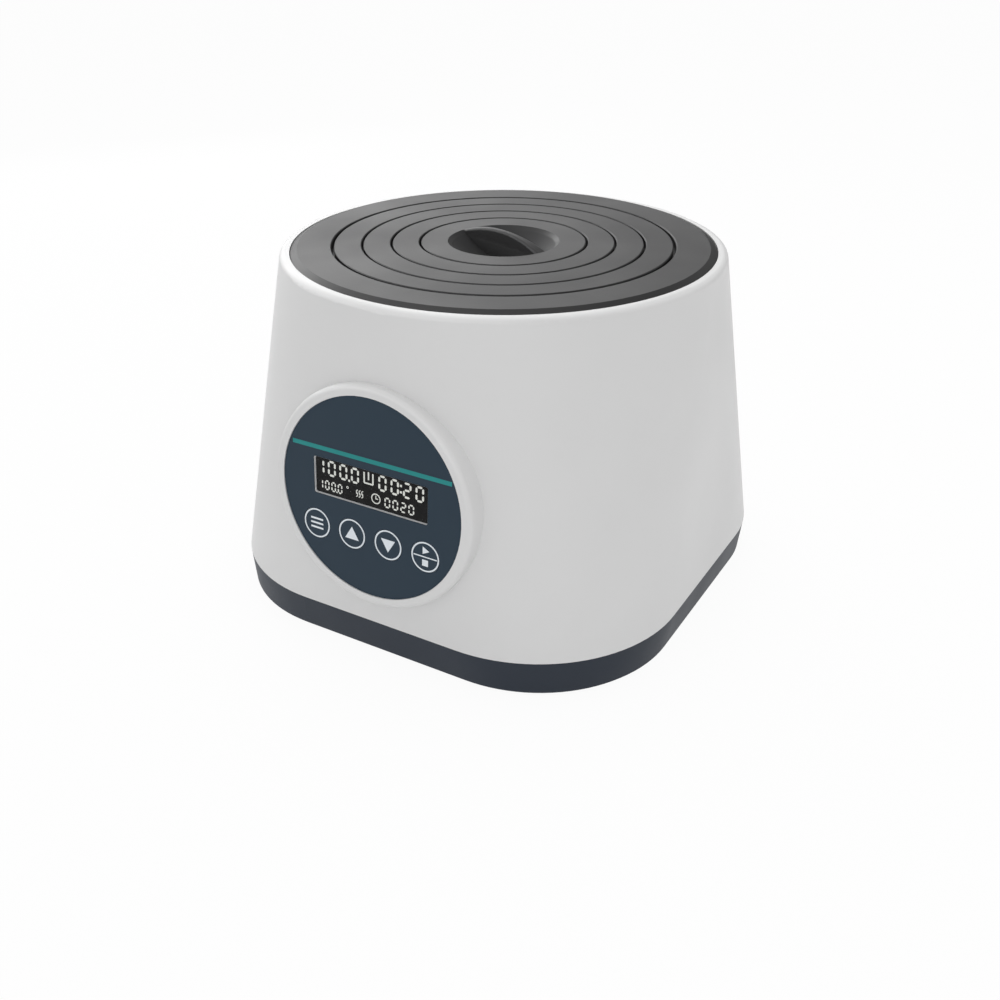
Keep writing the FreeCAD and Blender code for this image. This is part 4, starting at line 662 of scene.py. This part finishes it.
def ring_slab(mesh, x, y, inner, outer, low, high, place, start=0.0, sweep=360.0, steps=64):
    """A flat ring, or a part of one, round a centre. The start and the sweep are in degrees."""
    closed = sweep >= 360.0
    corners = []
    for index in range(steps if closed else steps + 1):
        angle = math.radians(start + sweep * index / steps)
        cosine, sine = math.cos(angle), math.sin(angle)
        corners.append([
            mesh.verts.new(place(x + radius * cosine, y + radius * sine, level))
            for radius, level in ((inner, low), (outer, low), (outer, high), (inner, high))
        ])
    for here, after in zip(corners, corners[1:] + corners[:1] if closed else corners[1:]):
        for side in range(4):
            turn = (side + 1) % 4
            mesh.faces.new((here[side], here[turn], after[turn], after[side]))
    if not closed:
        mesh.faces.new(corners[0][::-1])
        mesh.faces.new(corners[-1])


def stroke(start, end, width):
    """The outline of a straight stroke."""
    run = Vector((end[0] - start[0], end[1] - start[1]))
    side = Vector((-run.y, run.x)).normalized() * width / 2
    return [
        (start[0] - side.x, start[1] - side.y), (end[0] - side.x, end[1] - side.y),
        (end[0] + side.x, end[1] + side.y), (start[0] + side.x, start[1] + side.y),
    ]


STRIPE_RISE = 18.3
STRIPE_THICKNESS = 2.0
STRIPE_ENDS = (-41.1, 41.4)
print_teal = moulded(
    "print_teal", tone(44, 146, 144), tone(38, 132, 131), (0.4, 0.5), 2500, 0.000004, 0.2
)
stripe_mesh = bmesh.new()
slab(
    stripe_mesh,
    stroke((STRIPE_ENDS[0], STRIPE_RISE), (STRIPE_ENDS[1], STRIPE_RISE), STRIPE_THICKNESS),
    0.0, PRINT_HEIGHT, panel_point,
)
finish_piece("panel_stripe", stripe_mesh, print_teal, "bath")

# Display
# A backlit module with light digits on black, behind a clear window that is flush with the plate.
# The module's glass stands up into the opening, and a pale bevelled frame lines it.
DISPLAY_FACE = -2.4
GLASS_FACE = -0.95
DISPLAY_RISE = 5.0
window_clear, window_tree, window_shader = plain_shader("window_clear")
window_grain = use_group(window_tree, grain_tree, Grain_scale=1500.0, Blotch_scale=30.0)
window_gloss = ranged(window_tree, window_grain.outputs["Blotch"], 0.05, 0.1)
window_haze = ranged(window_tree, window_grain.outputs["Blotch"], 0.04, 0.06)
window_tree.links.new(window_gloss, window_shader.inputs["Roughness"])
window_tree.links.new(window_haze, window_shader.inputs["Alpha"])
window_shader.inputs["Specular IOR Level"].default_value = 0.0
window_shader.inputs["Base Color"].default_value = tone(20, 21, 23)
dress(window_clear, "display_window")
display_dark = moulded(
    "display_dark", tone(14, 14, 15), tone(11, 11, 12), (0.3, 0.4), 2500, 0.000004, 0.05
)
dress(display_dark, "display_module")


def display_point(x, rise, out):
    """A point on the display's glass, from the middle of the window."""
    return panel_point(x, rise + DISPLAY_RISE, out + GLASS_FACE)


GLASS_CORNER = 0.8
CORNER_STEPS = 4


def rounded_outline(half_width, half_height):
    """A rectangle with round corners, anticlockwise."""
    outline = []
    for corner_x, corner_y, corner_start in ((1, -1, -90), (1, 1, 0), (-1, 1, 90), (-1, -1, 180)):
        for step in range(CORNER_STEPS + 1):
            corner_angle = math.radians(corner_start + 90 / CORNER_STEPS * step)
            outline.append((
                corner_x * (half_width - GLASS_CORNER) + GLASS_CORNER * math.cos(corner_angle),
                corner_y * (half_height - GLASS_CORNER) + GLASS_CORNER * math.sin(corner_angle),
            ))
    return outline


# The glass of the module stands up into the window's opening
GLASS_HALF_WIDTH = 29.5
GLASS_HALF_HEIGHT = 8.45
glass_black = moulded("glass_black", tone(9, 9, 10), tone(7, 7, 8), (0.12, 0.18), 3000, 0.000001, 0.2)
glass_mesh = bmesh.new()
slab(
    glass_mesh, rounded_outline(GLASS_HALF_WIDTH, GLASS_HALF_HEIGHT),
    DISPLAY_FACE - GLASS_FACE, 0.0, display_point,
)
finish_piece("display_glass", glass_mesh, glass_black, "bath")

# A pale bevelled frame lines the opening, from just under the plate's face down to the glass
FRAME_HALF_WIDTH = 29.72
FRAME_HALF_HEIGHT = 8.67
FRAME_BEVEL = 0.3
FRAME_TOP = -0.1
FRAME_LIP = 0.05
frame_pale = moulded(
    "frame_pale", tone(214, 215, 216), tone(204, 205, 207), (0.35, 0.45), 2500, 0.000004, 0.4
)
frame_mesh = bmesh.new()
frame_rings = []
for half_width, half_height, out in (
    (FRAME_HALF_WIDTH, FRAME_HALF_HEIGHT, 0.0),
    (FRAME_HALF_WIDTH, FRAME_HALF_HEIGHT, FRAME_TOP - GLASS_FACE),
    (FRAME_HALF_WIDTH - FRAME_BEVEL, FRAME_HALF_HEIGHT - FRAME_BEVEL, FRAME_LIP),
    (FRAME_HALF_WIDTH - FRAME_BEVEL, FRAME_HALF_HEIGHT - FRAME_BEVEL, 0.0),
):
    frame_rings.append([
        frame_mesh.verts.new(display_point(x, y, out))
        for x, y in rounded_outline(half_width, half_height)
    ])
for ring, next_ring in zip(frame_rings, frame_rings[1:] + frame_rings[:1]):
    for index in range(len(ring)):
        after = (index + 1) % len(ring)
        frame_mesh.faces.new((ring[index], ring[after], next_ring[after], next_ring[index]))
finish_piece("display_frame", frame_mesh, frame_pale, "bath")

# The lit segments glow a little
lit_segment, lit_tree, lit_shader = plain_shader("lit_segment")
lit_grain = use_group(lit_tree, grain_tree, Grain_scale=4000.0, Blotch_scale=60.0)
lit_colour = blend_colours(
    lit_tree, lit_grain.outputs["Blotch"], tone(205, 206, 200), tone(186, 188, 184)
)
lit_tree.links.new(lit_colour, lit_shader.inputs["Base Color"])
lit_tree.links.new(lit_colour, lit_shader.inputs["Emission Color"])
lit_shader.inputs["Emission Strength"].default_value = 0.55
lit_shader.inputs["Roughness"].default_value = 0.6

# Which segments each digit lights, and how their ends are cut, as shares of their width
SEGMENTS = {"0": "abcdef", "1": "bc", "2": "abged"}
SEGMENT_SPACE = 0.62
SEGMENT_POINT = 0.6
SEGMENT_SHOULDER = 0.3


def digit(mesh, sign, x, y, width, height, thickness):
    """A seven-segment digit whose lower left corner is at x, y."""
    left, right = x + thickness / 2, x + width - thickness / 2
    low, high, middle = y + thickness / 2, y + height - thickness / 2, y + height / 2
    ends = {
        "a": ((left, high), (right, high)),
        "b": ((right, middle), (right, high)),
        "c": ((right, low), (right, middle)),
        "d": ((left, low), (right, low)),
        "e": ((left, low), (left, middle)),
        "f": ((left, middle), (left, high)),
        "g": ((left, middle), (right, middle)),
    }
    space = thickness * SEGMENT_SPACE
    half = thickness / 2
    for segment in SEGMENTS[sign]:
        start, end = Vector(ends[segment][0]), Vector(ends[segment][1])
        along = (end - start).normalized()
        side = Vector((-along.y, along.x)) * half
        tip = along * half * SEGMENT_POINT
        shoulder = along * half * SEGMENT_SHOULDER
        near, far = start + along * space, end - along * space
        outline = [
            near - tip, near - side + shoulder, far - side - shoulder,
            far + tip, far + side - shoulder, near + side + shoulder,
        ]
        slab(mesh, outline, 0.0, PRINT_HEIGHT, display_point)


COLON_RISES = (0.3, 0.7)


def number(mesh, text, x, y, width, height, thickness, pitch):
    """A row of digits, with points and colons between them."""
    for sign in text:
        if sign in ".:":
            left = x - (pitch - width) / 2 - thickness / 2
            colon = [height * share for share in COLON_RISES]
            for rise in ([thickness / 2] if sign == "." else colon):
                dot = stroke((left, y + rise), (left + thickness, y + rise), thickness)
                slab(mesh, dot, 0, PRINT_HEIGHT, display_point)
            continue
        digit(mesh, sign, x, y, width, height, thickness)
        x += pitch


# Each row of digits: its text, its lower left corner, and a digit's width, height, stroke and pitch
DIGIT_ROWS = (
    ("100.0", -29.1, 0.4, 4.3, 7.4, 1.0, 6.22),
    ("00:20", 4.0, 0.4, 4.3, 7.4, 1.0, 6.35),
    ("100.0", -28.2, -6.7, 2.5, 4.7, 0.65, 3.5),
    ("0020", 7.2, -6.7, 3.0, 4.9, 0.7, 4.1),
)
signs_mesh = bmesh.new()
for digit_row in DIGIT_ROWS:
    number(signs_mesh, *digit_row)

# The degree ring and the tank sign
DEGREE_PLACE = (-12.4, -2.5)
DEGREE_RADII = (0.3, 0.62)
TANK_SIGN = (
    ((-3.4, 7.2), (-3.4, 2.2)), ((-3.4, 2.2), (1.2, 2.2)),
    ((1.2, 2.2), (1.2, 7.2)), ((-1.1, 7.6), (-1.1, 3.9)),
)
TANK_SIGN_WIDTH = 0.75
ring_slab(signs_mesh, *DEGREE_PLACE, *DEGREE_RADII, 0, PRINT_HEIGHT, display_point, steps=20)
for start, end in TANK_SIGN:
    slab(signs_mesh, stroke(start, end, TANK_SIGN_WIDTH), 0, PRINT_HEIGHT, display_point)

# The clock sign and the heat sign, whose three waves are half rings above each other
CLOCK_PLACE = (2.7, -3.9)
CLOCK_RADII = (1.95, 2.45)
CLOCK_HANDS = (((2.7, -4.1), (2.7, -2.5)), ((2.5, -3.9), (3.9, -3.9)))
CLOCK_HAND_WIDTH = 0.45
HEAT_WAVES = (-7.3, -5.9, -4.5)
WAVE_HALVES = ((0.5, -3.1, 90), (-0.5, -4.7, -90))
WAVE_RADII = (0.6, 1.0)
ring_slab(signs_mesh, *CLOCK_PLACE, *CLOCK_RADII, 0, PRINT_HEIGHT, display_point, steps=32)
for start, end in CLOCK_HANDS:
    slab(signs_mesh, stroke(start, end, CLOCK_HAND_WIDTH), 0, PRINT_HEIGHT, display_point)
for across in HEAT_WAVES:
    for aside, rise, start in WAVE_HALVES:
        ring_slab(
            signs_mesh, across + aside, rise, *WAVE_RADII, 0, PRINT_HEIGHT, display_point,
            start, 180, 12,
        )
finish_piece("display_signs", signs_mesh, lit_segment, "bath")

# Keys
# Four round moulded caps that press on tact switches under the plate. Each is outlined by a printed
# ring and marked with a printed sign.
KEY_PITCH = 19.3
KEY_DROP = -18.9
KEY_CAPS = {
    "key_menu": ("key_menu_cap", -1.5),
    "key_up": ("key_up_cap", -0.5),
    "key_down": ("key_down_cap", 0.5),
    "key_start_stop": ("key_start_stop_cap", 1.5),
}
RING_INNER = 6.35
RING_OUTER = 7.05
key_blue = moulded("key_blue", tone(41, 57, 70), tone(39, 54, 67), (0.42, 0.5), 3000, 0.000006, 0.2)
print_white = moulded(
    "print_white", tone(240, 246, 251), tone(224, 231, 238), (0.4, 0.5), 3000, 0.000004, 0.3
)
dress(key_blue, *KEY_CAPS)

# The shapes printed inside each ring, from the key's middle: three bars, an arrow up, an arrow down,
# and a start triangle and a stop square with a line between them
KEY_SIGNS = {
    "key_menu": [stroke((-3.4, rise), (3.4, rise), 0.9) for rise in (2.2, 0.0, -2.2)],
    "key_up": [[(-3.7, -2.6), (3.7, -2.6), (0.0, 3.5)]],
    "key_down": [[(3.7, 2.6), (-3.7, 2.6), (0.0, -3.5)]],
    "key_start_stop": [
        stroke((-5.9, 0.0), (5.9, 0.0), 0.55),
        [(-1.3, 1.2), (2.1, 3.0), (-1.3, 4.8)],
        [(-1.5, -4.4), (1.5, -4.4), (1.5, -1.4), (-1.5, -1.4)],
    ],
}
for name, (body, step) in KEY_CAPS.items():
    across = step * KEY_PITCH
    key_mesh = bmesh.new()
    ring_slab(key_mesh, across, KEY_DROP, RING_INNER, RING_OUTER, 0.0, PRINT_HEIGHT, panel_point)
    for outline in KEY_SIGNS[name]:
        placed = [(across + x, KEY_DROP + y) for x, y in outline]
        slab(key_mesh, placed, 0.0, PRINT_HEIGHT, panel_point)
    finish_piece(name + "_print", key_mesh, print_white, body)

# Mains inlet module
# A black moulded block that snaps into the rear wall, with the appliance socket and its brass pins,
# the fuse drawer with its glass fuse, and the rocker switch.
REAR_LEVEL = 42.0
REAR_REACH = 113.66
REAR_SLOPE = math.radians(4.134)
BEZEL_FACE = 2.0
DRAWER_ACROSS = 4.9
DRAWER_PROUD = 0.8
dress(black_plastic, "inlet_module", "fuse_drawer")


def rear_point(x, down, out):
    """A point in the rear wall's frame, in millimetres, as a place in the model."""
    along = Vector((0, math.sin(REAR_SLOPE), -math.cos(REAR_SLOPE)))
    outward = Vector((0, math.cos(REAR_SLOPE), math.sin(REAR_SLOPE)))
    return (Vector((x, REAR_REACH, REAR_LEVEL)) + down * along + out * outward) * MILLIMETRE


# Five ridges across the face of the fuse drawer, for the finger
GRIP_COUNT = 5
GRIP_START = -8.5
GRIP_PITCH = 1.5
GRIP_WIDTH = 6.0
GRIP_RADIUS = 0.45
drawer_face = BEZEL_FACE + DRAWER_PROUD
grip_start = rear_point(DRAWER_ACROSS - GRIP_WIDTH / 2, GRIP_START, drawer_face)
grown(
    "drawer_grip", rod_tree, rod_sockets, "fuse_carrier", "black_plastic",
    Count=GRIP_COUNT, Start=grip_start, Step=rear_point(0, GRIP_PITCH, 0) - rear_point(0, 0, 0),
    Rod=Vector((GRIP_WIDTH * MILLIMETRE, 0, 0)), Radius=GRIP_RADIUS * MILLIMETRE,
    Material=black_plastic,
)

pin_brass = drawn_metal(
    "pin_brass", tone(214, 196, 150), tone(190, 170, 126), (0.25, 0.4), 500, 100, 0.00001
)
dress(pin_brass, "inlet_pins")
fuse_glass, fuse_tree, fuse_shader = plain_shader("fuse_glass")
fuse_grain = use_group(fuse_tree, grain_tree, Grain_scale=900.0, Blotch_scale=60.0)
fuse_gloss = ranged(fuse_tree, fuse_grain.outputs["Blotch"], 0.05, 0.12)
fuse_tree.links.new(fuse_gloss, fuse_shader.inputs["Roughness"])
fuse_shader.inputs["Base Color"].default_value = tone(214, 220, 222)
fuse_shader.inputs["Transmission Weight"].default_value = 0.6
dress(fuse_glass, "fuse")
rocker_plastic = moulded(
    "rocker_plastic", tone(40, 40, 42), tone(32, 32, 34), (0.25, 0.35), 3000, 0.000006, 0.5
)
dress(rocker_plastic, "rocker_switch")

# The printed on and off signs, one on each half of the rocker's shallow V
ROCKER_ACROSS = 19.2
ROCKER_LEAN = math.radians(10)
ROCKER_AXLE_OUT = -0.5
ROCKER_MIDDLE_OUT = 2.0
ROCKER_END_OUT = 3.9
ROCKER_HALF = 9.0
SIGN_PLACE = 5.2
ON_HALF_LENGTH = 1.7
ON_WIDTH = 0.7
OFF_RADII = (1.15, 1.8)


def rocker_point(x, along, out, half):
    """A point on the rocker's upper half (-1) or lower half (1), along its face from the middle."""
    slope = math.atan2(ROCKER_END_OUT - ROCKER_MIDDLE_OUT, ROCKER_HALF)
    down = half * (along * math.cos(slope) - out * math.sin(slope))
    outward = ROCKER_MIDDLE_OUT + along * math.sin(slope) + out * math.cos(slope)
    turned_down = down * math.cos(ROCKER_LEAN) - outward * math.sin(ROCKER_LEAN)
    turned_out = outward * math.cos(ROCKER_LEAN) + down * math.sin(ROCKER_LEAN)
    return rear_point(ROCKER_ACROSS + x, turned_down, ROCKER_AXLE_OUT + turned_out)


rocker_mesh = bmesh.new()
on_stroke = stroke((0, SIGN_PLACE - ON_HALF_LENGTH), (0, SIGN_PLACE + ON_HALF_LENGTH), ON_WIDTH)
slab(rocker_mesh, on_stroke, 0, PRINT_HEIGHT, lambda x, y, out: rocker_point(x, y, out, -1))
ring_slab(
    rocker_mesh, 0, SIGN_PLACE, *OFF_RADII, 0, PRINT_HEIGHT,
    lambda x, y, out: rocker_point(x, y, out, 1), steps=40,
)
finish_piece("rocker_signs", rocker_mesh, print_white, "power_rocker")
